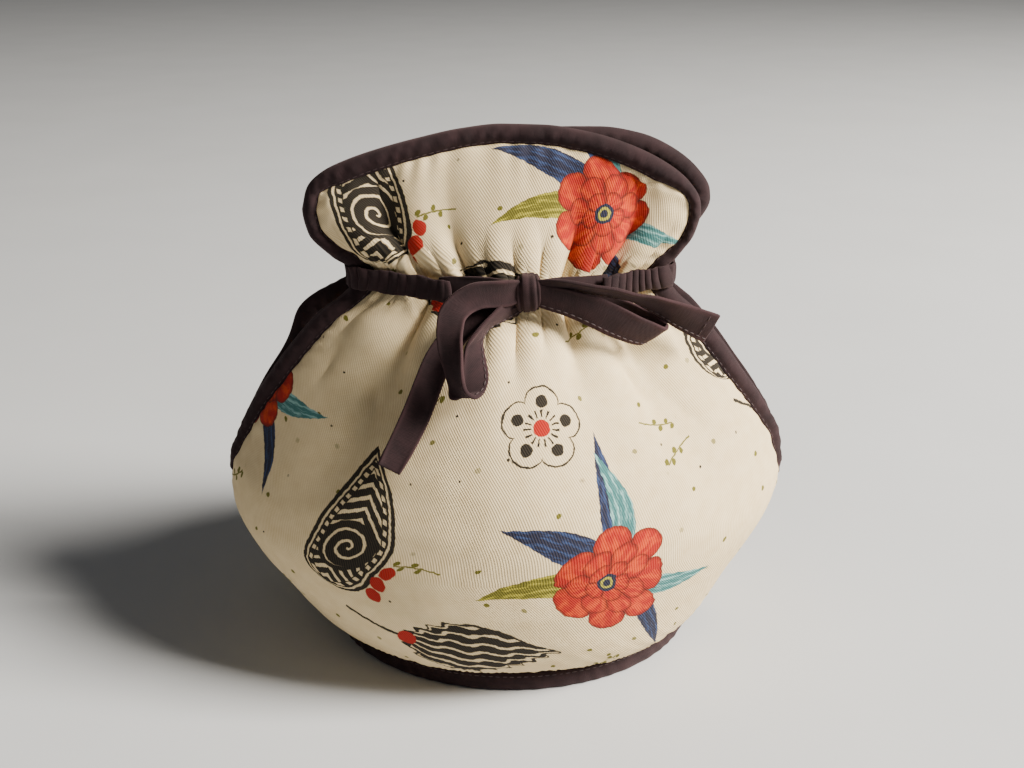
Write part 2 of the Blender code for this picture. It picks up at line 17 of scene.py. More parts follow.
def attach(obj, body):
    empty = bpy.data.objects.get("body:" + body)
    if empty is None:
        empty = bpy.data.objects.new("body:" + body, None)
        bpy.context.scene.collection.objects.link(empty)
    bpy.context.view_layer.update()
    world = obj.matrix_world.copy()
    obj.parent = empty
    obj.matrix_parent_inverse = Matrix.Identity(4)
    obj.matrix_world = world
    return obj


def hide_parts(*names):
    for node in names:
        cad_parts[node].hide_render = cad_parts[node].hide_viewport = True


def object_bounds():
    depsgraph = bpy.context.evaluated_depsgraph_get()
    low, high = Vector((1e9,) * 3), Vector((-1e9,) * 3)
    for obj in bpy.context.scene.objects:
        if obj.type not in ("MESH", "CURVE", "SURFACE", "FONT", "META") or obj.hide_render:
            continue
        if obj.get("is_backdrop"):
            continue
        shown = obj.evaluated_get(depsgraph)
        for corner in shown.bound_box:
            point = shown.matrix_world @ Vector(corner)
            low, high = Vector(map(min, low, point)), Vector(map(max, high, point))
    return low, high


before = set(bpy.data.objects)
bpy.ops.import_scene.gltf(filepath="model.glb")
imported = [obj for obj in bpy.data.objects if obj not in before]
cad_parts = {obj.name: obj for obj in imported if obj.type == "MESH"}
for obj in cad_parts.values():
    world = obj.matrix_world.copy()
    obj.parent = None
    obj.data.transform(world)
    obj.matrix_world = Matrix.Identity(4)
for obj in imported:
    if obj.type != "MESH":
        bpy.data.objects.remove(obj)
cad_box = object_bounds()
print("solids:", ", ".join(sorted(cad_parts)))

# %% [markdown]
# ## The camera
# The camera stands a little above the cosy and looks down at it. The lens is given by its focal length in
# pixels of the picture, which is easy to measure, and turned into millimetres of a full-frame sensor. The
# camera and the tie come first, because the tie is the only cord here and has to stay in view.

# %% The camera
PICTURE_WIDTH, FOCAL_PIXELS, SENSOR_WIDTH = 1024, 1228, 36.0
EYE = (0.0032, -0.490, 0.306)
DOWNWARD = math.radians(22.0)


def placed(name, data):
    """Puts a mesh, a lens or a lamp in the scene as an object."""
    thing = bpy.data.objects.new(name, data)
    bpy.context.scene.collection.objects.link(thing)
    return thing


lens = bpy.data.cameras.new("camera")
lens.sensor_width = SENSOR_WIDTH
lens.lens = SENSOR_WIDTH * FOCAL_PIXELS / PICTURE_WIDTH
camera = placed("camera", lens)
camera.location = EYE
camera.rotation_euler = (math.pi / 2 - DOWNWARD, 0.0, 0.0)
bpy.context.scene.camera = camera
print(f"focal length {lens.lens:.1f} mm")

# %% [markdown]
# ## Tables and smooth curves
# A sewn shape is easier to describe by a few measured sections than by many points. Each table below has
# named columns, in millimetres from the centre of the hem. `through` draws a smooth curve through a column,
# and it never overshoots the table's own numbers, so a neck stays as narrow as it was measured.

# %% Small helpers
MM = 0.001
HEM_CENTRE_X = 3.2
FRONT, BACK = -1, 1
SIDES = {"front": FRONT, "back": BACK}


def ease(t):
    t = np.clip(t, 0.0, 1.0)
    return t * t * (3 - 2 * t)


def mix(a, b, t):
    return a + (b - a) * t


def bell(distance, reach):
    return np.exp(-((distance / reach) ** 2))


def turned(x, y, degrees):
    """The same place, measured along axes that are turned by this angle."""
    c, s = math.cos(math.radians(degrees)), math.sin(math.radians(degrees))
    return x * c + y * s, y * c - x * s


def through(places, values, at):
    """Values of a smooth curve through the points of a table."""
    places, values = np.asarray(places, float), np.asarray(values, float)
    steps = np.diff(places)
    rises = np.diff(values) / steps
    product, total = rises[:-1] * rises[1:], rises[:-1] + rises[1:]
    middle = np.where(product > 0, 2 * product / np.where(product > 0, total, 1.0), 0.0)
    slopes = np.concatenate([rises[:1], middle, rises[-1:]])
    at = np.clip(at, places[0], places[-1])
    k = np.clip(np.searchsorted(places, at, side="right") - 1, 0, len(steps) - 1)
    t = (at - places[k]) / steps[k]
    bends = steps[k] * (slopes[k] * t * (1 - t) ** 2 - slopes[k + 1] * t * t * (1 - t))
    return mix(values[k], values[k + 1], ease(t)) + bends


def lengths_along(points):
    """Distance of each point from the first one, along the line through them."""
    steps = np.linalg.norm(np.diff(points, axis=0), axis=-1)
    return np.concatenate([np.zeros((1, *steps.shape[1:])), np.cumsum(steps, axis=0)])


def at_marks(line, marks, at):
    """Points of a line at these distances along it."""
    return np.stack([np.interp(at, marks, column) for column in line.T], axis=-1)


def unit(vectors):
    return vectors / np.maximum(np.linalg.norm(vectors, axis=-1, keepdims=True), 1e-12)


print("halfway between 2 and 6:", mix(2, 6, ease(0.5)))

# %% [markdown]
# ## From a grid to a piece of cloth
# Woven cloth has two directions of thread, so a mesh grid is its natural start. `cloth_grid` makes one with
# `create_grid` and moves each vertex to its place. It also keeps the flat pattern, in metres, as the UV map
# "flat_cloth": the weave and the print read that map, so they follow the cloth through every fold. A tube is
# the same grid with its first and last columns welded.

# %% A grid of cloth
def worked(mesh, work):
    """Opens a mesh, lets `work` change it with bmesh operators, and writes it back."""
    bm = bmesh.new()
    bm.from_mesh(mesh)
    work(bm)
    bm.to_mesh(mesh)
    bm.free()
    return mesh


def welded(bm):
    bmesh.ops.remove_doubles(bm, verts=bm.verts, dist=2e-6)
    bmesh.ops.recalc_face_normals(bm, faces=bm.faces)


def cloth_grid(name, points, flat, weld=False):
    """An object from points[row, column] in millimetres, and its flat pattern from flat[row, column]."""
    rows, columns = points.shape[0] - 1, points.shape[1] - 1
    sizes = {"x_segments": columns, "y_segments": rows, "size": 1.0}
    mesh = worked(bpy.data.meshes.new(name), lambda bm: bmesh.ops.create_grid(bm, **sizes))
    start = np.empty(len(mesh.vertices) * 3, np.float32)
    mesh.vertices.foreach_get("co", start)
    column = np.rint((start[::3] + 1) / 2 * columns).astype(int)
    row = np.rint((start[1::3] + 1) / 2 * rows).astype(int)
    corner = np.empty(len(mesh.loops), np.int32)
    mesh.loops.foreach_get("vertex_index", corner)
    moved = (points[row, column] + (HEM_CENTRE_X, 0.0, 0.0)) * MM
    mesh.vertices.foreach_set("co", moved.astype(np.float32).ravel())
    uv = mesh.uv_layers.new(name="flat_cloth")
    uv.data.foreach_set("uv", (flat[row, column][corner] * MM).astype(np.float32).ravel())
    mesh.update()
    if weld:
        worked(mesh, welded)
    mesh.shade_smooth()
    return placed(name, mesh), row, column


def thickened(piece, thickness, shares, offset, lined=False):
    """Gives a sheet of cloth its thickness in millimetres, which each vertex scales by its share."""
    group = piece.vertex_groups.new(name="thickness")
    for index, share in enumerate(shares.tolist()):
        group.add([index], share, "REPLACE")
    solid = piece.modifiers.new("Thickness", "SOLIDIFY")
    solid.thickness = thickness * MM
    solid.offset = offset
    solid.vertex_group = group.name
    solid.use_even_offset = False
    solid.material_offset = int(lined)


print("a grid of cloth has its pattern in the UV map flat_cloth")

# %% [markdown]
# ## The tie
# The tie is a flat cotton tape, folded lengthwise and stitched along one edge. It leaves the casing at the
# left, crosses the neck, and is tied in a bow: a knot, two loops and two free ends. A tape could be a curve
# with a bevel, but a curve twists by itself at steep bends. Here a table gives the tape's middle and the way
# its upper edge points at each place, so every turn and fold is given one by one. `turn` swings that edge from
# up towards the left and `roll` brings it forward.

# %% The way of each tape
Way = namedtuple("Way", "x y z turn roll width")
TAPES = {
    "tie_run": [
        Way(-28.5, -29.6, 161.2, 2, -11, 7.4),
        Way(-22.3, -31.8, 161.6, 0, -10, 8.6),
        Way(-10.4, -34.6, 161.6, 0, -8, 9.8),
        Way(2, -37.4, 162, 0, 0, 8),
        Way(9, -37, 162.2, 0, 0, 8),
        Way(20, -32.2, 161.6, 0, -8, 8.4),
        Way(30, -27.7, 160.8, 0, -12, 8),
        Way(38, -24, 160.4, 0, -14, 7.8),
    ],
    "tie_loop_left": [
        Way(4, -41.6, 163.4, 0, 0, 8),
        Way(-2.5, -44.5, 163, 2, 4, 11),
        Way(-11.6, -47.5, 163.4, 14, 6, 11),
        Way(-18.8, -50, 160.8, 45, 0, 10.6),
        Way(-22.8, -53.5, 156.2, 78, -10, 10.6),
        Way(-23.4, -57.8, 151, 92, -20, 10.8),
        Way(-22.8, -62.2, 145.8, 97, -32, 11),
        Way(-21.6, -66.6, 140.2, 99, -46, 11),
        Way(-20, -70, 134.6, 100, -50, 11),
        Way(-17.8, -71.2, 131.2, 100, -16, 11),
        Way(-15.2, -69.2, 131.8, 100, 10, 11),
        Way(-13.6, -65.4, 136, 99, 24, 11),
        Way(-14.2, -61, 141, 97, 36, 11),
        Way(-14.4, -56.4, 145.6, 92, 54, 11),
        Way(-11.4, -51, 150.2, 76, 60, 10.8),
        Way(-5.4, -45.4, 153.6, 50, 50, 10),
        Way(4, -38.2, 158.6, 12, 0, 8),
    ],
    "tie_loop_right": [
        Way(8, -41.8, 161.8, 0, 0, 8.6),
        Way(20, -43.4, 159.4, -8, 2, 10.8),
        Way(31, -43.8, 155.6, -20, 4, 12.4),
        Way(41.5, -42.6, 150.2, -34, 6, 13),
        Way(50, -39.8, 145.6, -46, 6, 12.8),
        Way(56, -36.2, 143, -54, 4, 12),
        Way(57, -32.8, 143.4, -54, 0, 11.4),
        Way(51, -32, 147.4, -42, -6, 10.8),
        Way(42, -33.8, 152.2, -30, -8, 10.6),
        Way(31, -35.8, 156.6, -18, -8, 10),
        Way(20, -36.8, 159.4, -8, -6, 9),
        Way(8, -37.2, 160.6, 0, 0, 8),
    ],
    "tie_end_left": [
        Way(4, -40, 161, 20, 0, 8),
        Way(-9, -42.6, 156.2, 52, -14, 8.8),
        Way(-19.6, -46.4, 149.2, 66, -16, 10),
        Way(-27.2, -52.2, 141, 74, -8, 10.6),
        Way(-31.6, -58.6, 132, 72, -6, 11),
        Way(-36, -65, 122, 68, -4, 11),
        Way(-41, -70.4, 112.6, 64, -2, 10.6),
        Way(-46.4, -74.6, 103.4, 60, 0, 9.6),
    ],
    "tie_end_right": [
        Way(8, -40.6, 163.6, 0, 10, 8),
        Way(20, -42.4, 165, -4, 40, 8.6),
        Way(33, -42.4, 163.6, -10, 58, 9.6),
        Way(45, -40, 160.4, -18, 58, 10.4),
        Way(56.6, -36.4, 155.6, -24, 40, 11.2),
        Way(67.4, -32.8, 149.6, -28, 18, 12.2),
        Way(79.6, -28.6, 143.2, -26, 6, 13.6),
    ],
}
print(f"{len(TAPES)} stretches of tape")

# %% [markdown]
# Each stretch of tape is a grid that is a dozen threads' worth of columns wide. It is a little cupped across,
# as folded tape is, and ripples along its edges. Solidify then gives it two layers of thickness, more along
# its folded edges than in the middle, and one subdivision rounds the folds. The free ends are turned in, so
# they are thicker.

# %% Making the tapes
TAPE_THICKNESS, TAPE_COLUMNS, TAPE_STEP = 1.9, 14, 1.1
TAPE_CUP, TAPE_RIPPLE = 0.55, 0.22
# Shares of the full thickness: away from the folded edges, inside the bow, and where an end isn't turned in.
FLAT_SHARE, BOW_SHARE, SINGLE_SHARE = 0.72, 0.85, 0.78
FOLDED_FROM, FOLDED_RAMP = 0.66, 0.2
END_HEM, END_HEM_RAMP = 6.0, 0.8


def tape(name, ways):
    """One stretch of tape, and the lines and facings that its stitches follow."""
    marks = lengths_along(np.array([way[:3] for way in ways]))
    at = np.linspace(0.0, marks[-1], int(marks[-1] / TAPE_STEP) + 1)
    x, y, z, turn, roll, width = (through(marks, column, at) for column in zip(*ways))
    middle = np.stack([x, y, z], axis=-1)
    turn, roll = np.radians(turn), np.radians(roll)
    edge = np.stack([-np.sin(turn) * np.cos(roll), -np.sin(roll), np.cos(turn) * np.cos(roll)], axis=-1)
    facing_out = unit(np.cross(unit(np.gradient(middle, axis=0)), edge))
    s = lengths_along(middle)
    down, q = s[:, None], np.linspace(-1.0, 1.0, TAPE_COLUMNS + 1)
    across = q * width[:, None] / 2
    ripple = np.sin(down / 3.1 + 2.0 * q + 0.9 * np.sin(down / 7.0))
    lift = TAPE_CUP * (0.5 - q**2) + TAPE_RIPPLE * q**2 * ripple
    points = middle[:, None] + edge[:, None] * across[..., None] + facing_out[:, None] * lift[..., None]
    flat = np.stack([across, np.broadcast_to(down, across.shape)], axis=-1)
    piece, row, column = cloth_grid(name, points, flat)
    shares = mix(FLAT_SHARE, 1.0, ease((np.abs(q) - FOLDED_FROM) / FOLDED_RAMP))[column]
    if "end" in name:
        shares = shares * mix(SINGLE_SHARE, 1.0, ease((s[row] - s[-1] + END_HEM) / END_HEM_RAMP))
    else:
        shares = shares * BOW_SHARE
    thickened(piece, TAPE_THICKNESS, shares, 0.0)
    smooth = piece.modifiers.new("Roundness", "SUBSURF")
    smooth.levels = smooth.render_levels = 1
    return piece, points, facing_out, s


tapes = {name: tape(name, ways) for name, ways in TAPES.items()}
for name, (_, _, _, s) in tapes.items():
    print(f"{name}: {s[-1]:.0f} mm long")

# %% [markdown]
# The knot is a short wrap of the same tape round the bow. It is a grid that closes on itself. Two deep
# creases run round with the wrap, where the tape has bunched, and a faint one lies between them. Its two open
# sides are drawn in to a point inside the bow, where they don't show.

# %% The knot
KNOT_CENTRE = np.array([6.2, -38.9, 161.8])
KNOT_HALF_WIDTH, KNOT_HALF_DEPTH, KNOT_HALF_HEIGHT = 5.7, 5.4, 7.5
KNOT_TURNS, KNOT_COLUMNS = 96, 60
KNOT_PINCH, KNOT_UNEVEN, KNOT_LEAN = 0.16, 0.03, 0.10
Crease = namedtuple("Crease", "place depth width")
KNOT_CREASES = [Crease(-0.54, 0.9, 0.11), Crease(0.62, 0.6, 0.10), Crease(0.12, 0.22, 0.16)]

turns = np.linspace(0.0, math.tau, KNOT_TURNS + 1)[:, None]
q = np.linspace(-1.0, 1.0, KNOT_COLUMNS + 1)[None, :]
pinch = 1.0 - KNOT_PINCH * np.abs(np.sin(turns)) ** 3
swell = np.clip(1 - np.abs(q) ** 5, 0.0, 1.0) ** 0.45
creases = [fold.depth * bell(q - fold.place + KNOT_LEAN * np.sin(turns), fold.width) for fold in KNOT_CREASES]
crease = -sum(creases) * swell
bulk = swell * (1 + KNOT_UNEVEN * np.sin(3 * turns + 2 * q))
out_y, out_z = np.cos(turns), np.sin(turns)
squared = (np.abs(out_y) ** 3 + np.abs(out_z) ** 3) ** (-1 / 3)
across = KNOT_HALF_WIDTH * q * pinch
forward = (KNOT_HALF_DEPTH * bulk + crease) * squared * -out_y
upward = (KNOT_HALF_HEIGHT * bulk + crease) * squared * out_z
knot_points = KNOT_CENTRE + np.stack([across, forward, upward], axis=-1)
round_knot = turns * (KNOT_HALF_DEPTH + KNOT_HALF_HEIGHT) / 2
knot_flat = np.stack(np.broadcast_arrays(q * KNOT_HALF_WIDTH, round_knot), axis=-1)
knot, _, _ = cloth_grid("tie_knot", knot_points, knot_flat, weld=True)
print("knot:", len(knot.data.polygons), "faces")

# %% [markdown]
# ## The cloth's outer face
# Both panels are laid over one smooth shape, the outer face of the filled cosy. `SECTIONS` gives its
# half-widths to the left and right, how far it bulges forward, half of the open slit at each side, and
# `flare`, which turns a round section into the pointed one of the neck and collar. `cloth(side, u, height)`
# then gives any place on it: u runs from -1 at the left bound edge to 1 at the right one.

# %% Sections of the filled cosy
NECK = 160.0
COLLAR_WIDEST = 187.0

Section = namedtuple("Section", "height left right bulge gap_left gap_right flare")
SECTIONS = [
    Section(7, 80.2, 80.2, 69.8, 0, 0, 0),
    Section(8, 81, 81, 70.5, 0, 0, 0),
    Section(10, 82.6, 82.4, 71.9, 0, 0, 0),
    Section(14, 88, 86.3, 76.6, 0, 0, 0),
    Section(22, 96, 91.5, 82, 0, 0, 0),
    Section(34, 105, 97.5, 86.5, 0, 0, 0),
    Section(48, 115, 105.5, 89, 0, 0.3, 0),
    Section(62, 122.5, 113.5, 88.2, 0.4, 2, 0.05),
    Section(76, 123.5, 117.5, 84.3, 3, 5, 0.2),
    Section(90, 119, 116, 77, 7, 8.5, 0.45),
    Section(105, 111.5, 108, 67, 11.5, 10.5, 0.7),
    Section(120, 101, 97, 56.5, 13.5, 11.5, 0.9),
    Section(134, 90, 86.5, 45.8, 14, 11.5, 1),
    Section(146, 79, 76, 34.2, 14, 11.5, 1),
    Section(154, 68.5, 67, 26.2, 13.5, 11, 1),
    Section(160, 63.5, 62.5, 21, 13, 11, 1),
    Section(167, 73, 67.5, 19, 12, 12, 1),
    Section(177, 82.5, 73.5, 15, 10.5, 13.5, 1),
    Section(187, 84.6, 75.4, 10.5, 9.2, 14.5, 1),
    Section(206, 84.6, 75.4, 2, 8, 15, 1),
    Section(220, 84.6, 75.4, -3.6, 7.8, 15, 1),
    Section(230, 84.6, 75.4, -7.6, 7.8, 15, 1),
]
SECTION_COLUMNS = {field: np.array(values, float) for field, values in zip(Section._fields, zip(*SECTIONS))}

BACK_COLLAR_SHIFT, BACK_COLLAR_START, BACK_COLLAR_RAMP = 7.0, 4.0, 22.0
SHIFT_IN_MIDDLE, SHIFT_MORE_AT_RIGHT = 0.6, 0.4
BACK_SHOULDER, BACK_SHOULDER_HEIGHT, BACK_SHOULDER_REACH = 7.0, 142.0, 12.0


def section(field, height):
    return through(SECTION_COLUMNS["height"], SECTION_COLUMNS[field], height)


def cloth(side, u, height):
    """Points of a panel's smooth outer face."""
    left, right, flare = section("left", height), section("right", height), section("flare", height)
    angle = u * math.pi / 2
    x = (right - left) / 2 + (left + right) / 2 * mix(np.sin(angle), u, flare)
    gap = mix(section("gap_left", height), section("gap_right", height), ease((u + 1) / 2))
    depth = gap + section("bulge", height) * np.maximum(np.cos(angle), 0.0) ** (1 + 0.25 * flare)
    if side == BACK:
        shifted = ease((height - NECK - BACK_COLLAR_START) / BACK_COLLAR_RAMP)
        x = x + BACK_COLLAR_SHIFT * shifted * (SHIFT_IN_MIDDLE + SHIFT_MORE_AT_RIGHT * u)
        x = x - BACK_SHOULDER * bell(height - BACK_SHOULDER_HEIGHT, BACK_SHOULDER_REACH) * ((1 - u) / 2) ** 3
    return np.stack([x, side * depth, height + 0 * u], axis=-1)


def slopes(side, u, height):
    """How the face moves with u and with the height."""
    low, high = np.maximum(u - 1e-3, -1.0), np.minimum(u + 1e-3, 1.0)
    by_u = (cloth(side, high, height) - cloth(side, low, height)) / (high - low)[..., None]
    by_height = (cloth(side, u, height + 0.05) - cloth(side, u, height - 0.05)) / 0.1
    return by_u, by_height


def facing(side, u, height):
    by_u, by_height = slopes(side, u, height)
    return unit(np.cross(by_u, by_height) * -side)


widest = max(SECTIONS, key=lambda row: row.left + row.right)
print(f"widest at {widest.height:.0f} mm: {widest.left + widest.right:.0f} mm")

# %% [markdown]
# The collar's top edge is a measured outline, lower at the left than in the middle. `edges_of` walks round a
# panel's free edge: up the left side, over the collar and down the right side. `stepped_in` moves such a line
# inwards over the curved cloth, square to the edge, which is how a tailor marks the width of a binding. At
# the front collar's sides more of the strip has gone round to the back, so less of it shows.

# %% The edges of a panel
Rim = namedtuple("Rim", "across front back")
COLLAR_RIM = [
    Rim(-84.6, 187, 187),
    Rim(-82.4, 195.2, 192.6),
    Rim(-76, 201.6, 197.2),
    Rim(-66, 206.6, 201.6),
    Rim(-52, 211.6, 206.4),
    Rim(-37, 215.8, 210.6),
    Rim(-20, 219.6, 214.4),
    Rim(-4, 221.4, 216.8),
    Rim(12, 221.2, 218),
    Rim(30, 218.6, 217.6),
    Rim(46, 213.8, 214.4),
    Rim(60, 207, 207.6),
    Rim(70, 199, 199),
    Rim(75, 190.8, 190.8),
    Rim(75.4, 187, 187),
]
CORNER = 0.185
BINDING_WIDTH = 8.4
SLIT_FOOT_LEFT, SLIT_FOOT_RIGHT, SLIT_FOOT_RAMP = 62.0, 46.0, 12.0
NARROWED_LEFT, NARROWED_RIGHT = 0.26, 0.40
NARROWED_FROM, NARROWED_RAMP, NARROWED_RISE = 0.80, 0.18, 14
STEPS_IN = 8


def rim_curve(side):
    """The bound edge of the collar, from neck to neck: x and height, and u and height."""
    heights = np.linspace(NECK, COLLAR_WIDEST, 40)
    across = np.array([row.across for row in COLLAR_RIM])
    rise = np.array([row.front if side == FRONT else row.back for row in COLLAR_RIM])
    marks = lengths_along(np.stack([across, rise], axis=-1))
    at = np.linspace(0, marks[-1], 400)[1:-1]
    over = through(marks, across, at)
    x = np.concatenate([-section("left", heights), over, section("right", heights)[::-1]])
    height = np.concatenate([heights, through(marks, rise, at), heights[::-1]])
    left, right = section("left", height), section("right", height)
    u = np.clip((x - (right - left) / 2) / ((left + right) / 2), -1.0, 1.0)
    return np.stack([x, height], axis=-1), np.stack([u, height], axis=-1)


def edges_of(side, body_heights, collar_rows, shares):
    """Left edge going up, top edge going right and right edge going up, each as u and height."""
    curve, places = rim_curve(side)
    marks = lengths_along(curve) / lengths_along(curve)[-1]

    def at_side(u, rim):
        up_slit = np.stack([0 * body_heights + u, body_heights], axis=-1)
        return np.concatenate([up_slit, at_marks(places, marks, rim)])

    rising = np.linspace(0, CORNER, collar_rows + 1)[1:]
    top = at_marks(places, marks, mix(CORNER, 1 - CORNER, shares))
    return at_side(-1, rising), top, at_side(1, 1 - rising)


def stepped_in(side, edge, distance):
    """A line on the cloth this far in from an edge, whose points are u and height."""
    after, before = np.roll(edge, -1, axis=0), np.roll(edge, 1, axis=0)
    after[-1], before[0] = edge[-1], edge[0]
    along = unit(cloth(side, *after.T) - cloth(side, *before.T))
    inward = np.cross(along, facing(side, *edge.T)) * -side
    u, height = edge.T.copy()
    for _ in range(STEPS_IN):
        a, b = slopes(side, u, height)
        aa, ab, bb = (a * a).sum(-1), (a * b).sum(-1), (b * b).sum(-1)
        ai, bi = (a * inward).sum(-1), (b * inward).sum(-1)
        scale = distance / STEPS_IN / (aa * bb - ab * ab)
        u = np.clip(u + (ai * bb - bi * ab) * scale, -1.0, 1.0)
        height = height + (bi * aa - ai * ab) * scale
    return np.stack([u, height], axis=-1)


def round_edge(left, top, right):
    return np.concatenate([left, top[1:-1], right[::-1]])


def binding_share(side, line):
    """Share of its full width that a binding has at each place. It runs out at the foot of each slit."""
    foot = np.where(line[:, 0] < 0, SLIT_FOOT_LEFT, SLIT_FOOT_RIGHT)
    narrowed = np.where(line[:, 0] < 0, NARROWED_LEFT, NARROWED_RIGHT) * (side == FRONT)
    at_side = ease((np.abs(line[:, 0]) - NARROWED_FROM) / NARROWED_RAMP)
    at_side = at_side * ease((line[:, 1] - NECK) / NARROWED_RISE)
    return ease((line[:, 1] - foot) / SLIT_FOOT_RAMP) * (1 - narrowed * at_side)


print("the front collar is", max(row.front for row in COLLAR_RIM), "mm high")

# %% [markdown]
# ## The padded panels
# Each panel is two layers of cotton with thick wadding between, so it is a full, soft shell. Cloth simulation
# could fill it, but it would lose the flat pattern that the print needs, and the folds at a drawn-in neck
# follow the tie more than the air. So the grid is the smooth inner layer, and its thickness is shaped
# instead: a round edge along each seam, folds that run up and down from the neck, puffs of wadding between
# them, small gathers close to the tie, puckers along the seams and a few small dents.

# %% Folds and padding
PAD, PAD_MOST, PAD_LEAST = 7.0, 9.4, 2.4
SEAM_PAD, SEAM_REACH = 3.4, 10.0

# place, width and drift are shares of the panel's breadth, drift for each 100 mm down. The rest are mm.
Fold = namedtuple("Fold", "place drift depth width down up")
FOLDS = [
    Fold(0.05, 0.00, 2.4, 0.034, 18, 10),
    Fold(0.20, 0.06, 8, 0.043, 56, 40),
    Fold(0.28, 0.02, 2.2, 0.026, 14, 10),
    Fold(0.36, 0.02, 5.6, 0.052, 32, 34),
    Fold(0.44, 0.00, 2.6, 0.030, 13, 9),
    Fold(0.52, 0.00, 3.2, 0.036, 26, 11),
    Fold(0.60, -0.02, 2.4, 0.028, 14, 14),
    Fold(0.69, -0.03, 5.8, 0.050, 40, 32),
    Fold(0.77, -0.03, 2.4, 0.028, 16, 10),
    Fold(0.85, -0.06, 7.2, 0.048, 54, 42),
    Fold(0.95, 0.00, 2.4, 0.034, 20, 12),
]
HOLLOWS = [
    Fold(0.30, 0, 1.2, 0.11, 80, 10),
    Fold(0.70, 0, 1, 0.12, 90, 12),
    Fold(0.84, -0.05, 1.1, 0.05, 75, 10),
]
# A dent's place is a share of the breadth and its turn is in degrees from level. The rest are mm.
Dent = namedtuple("Dent", "place height turn depth width length")
DENTS = [
    Dent(0.195, 123, -42, 1.5, 3.2, 8),
    Dent(0.080, 128, -78, 1.3, 3.2, 7),
    Dent(0.795, 133, -80, 1.9, 4.2, 12),
    Dent(0.860, 114, -74, 0.9, 4.4, 9),
    Dent(0.180, 198, -80, 1.4, 2.8, 7),
]
PANEL_BREADTH = 230.0
FOLD_AT_NECK, FOLD_AWAY, FOLD_WIDENS_OVER = 0.8, 1.35, 40
PUFF, PUFF_FROM_NECK, PUFF_REACH = 1.8, 16.0, 9.0
GATHER, GATHER_REACH = 0.45, 8.0
PUCKER, PUCKER_REACH, SIDE_PUCKER_STEP, TOP_PUCKER_STEP = 0.42, 7.0, 8.3, 9.1
HEM_PUCKER, HEM_PUCKER_REACH, HEM_PUCKER_STEP = 0.95, 10.0, 7.6
INLAND, SEAM_TUCK = 6.0, 1.6


def fold_depth(side, t, height):
    """How deep the folds sink at this share of the breadth, less how far the wadding puffs up between them."""
    from_neck = height - NECK
    depth, filled = 0.0, 1.0
    for fold in FOLDS + HOLLOWS:
        place = fold.place + fold.drift * np.maximum(-from_neck, 0.0) / 100
        place = place if side == FRONT else 1 - place
        reach = np.where(from_neck > 0, fold.up, fold.down)
        width = fold.width * mix(FOLD_AT_NECK, FOLD_AWAY, ease(np.abs(from_neck) / FOLD_WIDENS_OVER))
        across = np.exp(-(np.abs((t - place) / width) ** 1.7))
        depth = depth + fold.depth * across * bell(from_neck, reach)
        if fold in FOLDS:
            filled = np.maximum(filled - across, 0.0)
    puff = PUFF * bell(np.abs(from_neck) - PUFF_FROM_NECK, PUFF_REACH) * filled
    gathers = np.sin(t * 214 + 2.1 * np.sin(t * 31)) + 0.6 * np.sin(t * 337 + 1.7 * np.sin(t * 23 + side))
    return depth - puff - GATHER * gathers * bell(from_neck, GATHER_REACH)


def dent_depth(side, t, height):
    """How deep the small dents sink, where the wadding is pressed or the seam pulls."""
    depth = 0.0
    for dent in DENTS:
        x = ((t if side == FRONT else 1 - t) - dent.place) * PANEL_BREADTH
        along, across = turned(x, height - dent.height, dent.turn)
        depth = depth + dent.depth * np.exp(-((across / dent.width) ** 2) - (along / dent.length) ** 2)
    return depth


def soft_waves(x, height):
    """The slight unevenness of wadding, in millimetres."""
    return (
        0.34 * np.sin(x / 17 + 0.8 * np.sin(height / 31)) * np.sin(height / 21 + 1.2)
        + 0.24 * np.sin(x / 9.5 - height / 27 + 2.0) * np.sin(height / 12.5 + 0.6)
        + 0.10 * np.sin(x / 4.7 + height / 6.1) * np.sin(height / 5.3 - x / 8.0)
    )


def puckers(along, step):
    """Small uneven gathers with about this spacing along a seam."""
    return np.cos(math.tau * along / step + 1.9 * np.sin(along / step * 1.31) + 0.8 * np.sin(along / 19))


print(f"{len(FOLDS)} folds at each neck and {len(DENTS)} small dents")

# %% [markdown]
# The rows of the grid follow the height of the bound edge, and above the neck they spread out between the
# neck and the collar's top edge, as a Coons patch does. The seam line is evened out first, since a line that
# is stepped in from a tight corner can cross itself. A fold sinks both layers: part of its depth is the inner
# layer's, and the rest is taken from the wadding. The flat pattern is measured along the cloth, and the back
# panel is cut from another part of the printed cloth. At the neck it is made wider than the cloth looks,
# because the cloth is gathered there.

# %% The panels
PANEL_COLUMNS = 200
BODY_ROWS, COLLAR_ROWS = 116, 54
PANEL_FOOT = 7.6
SEAM_LAP = 1.2
GATHERED, GATHERED_REACH = 0.34, 30.0
EVENING_ROUNDS = 24
SINK_SHARE = 0.45
CROWDED_AT_SIDES = 0.03
BACK_PATTERN = (47.0, 31.0)


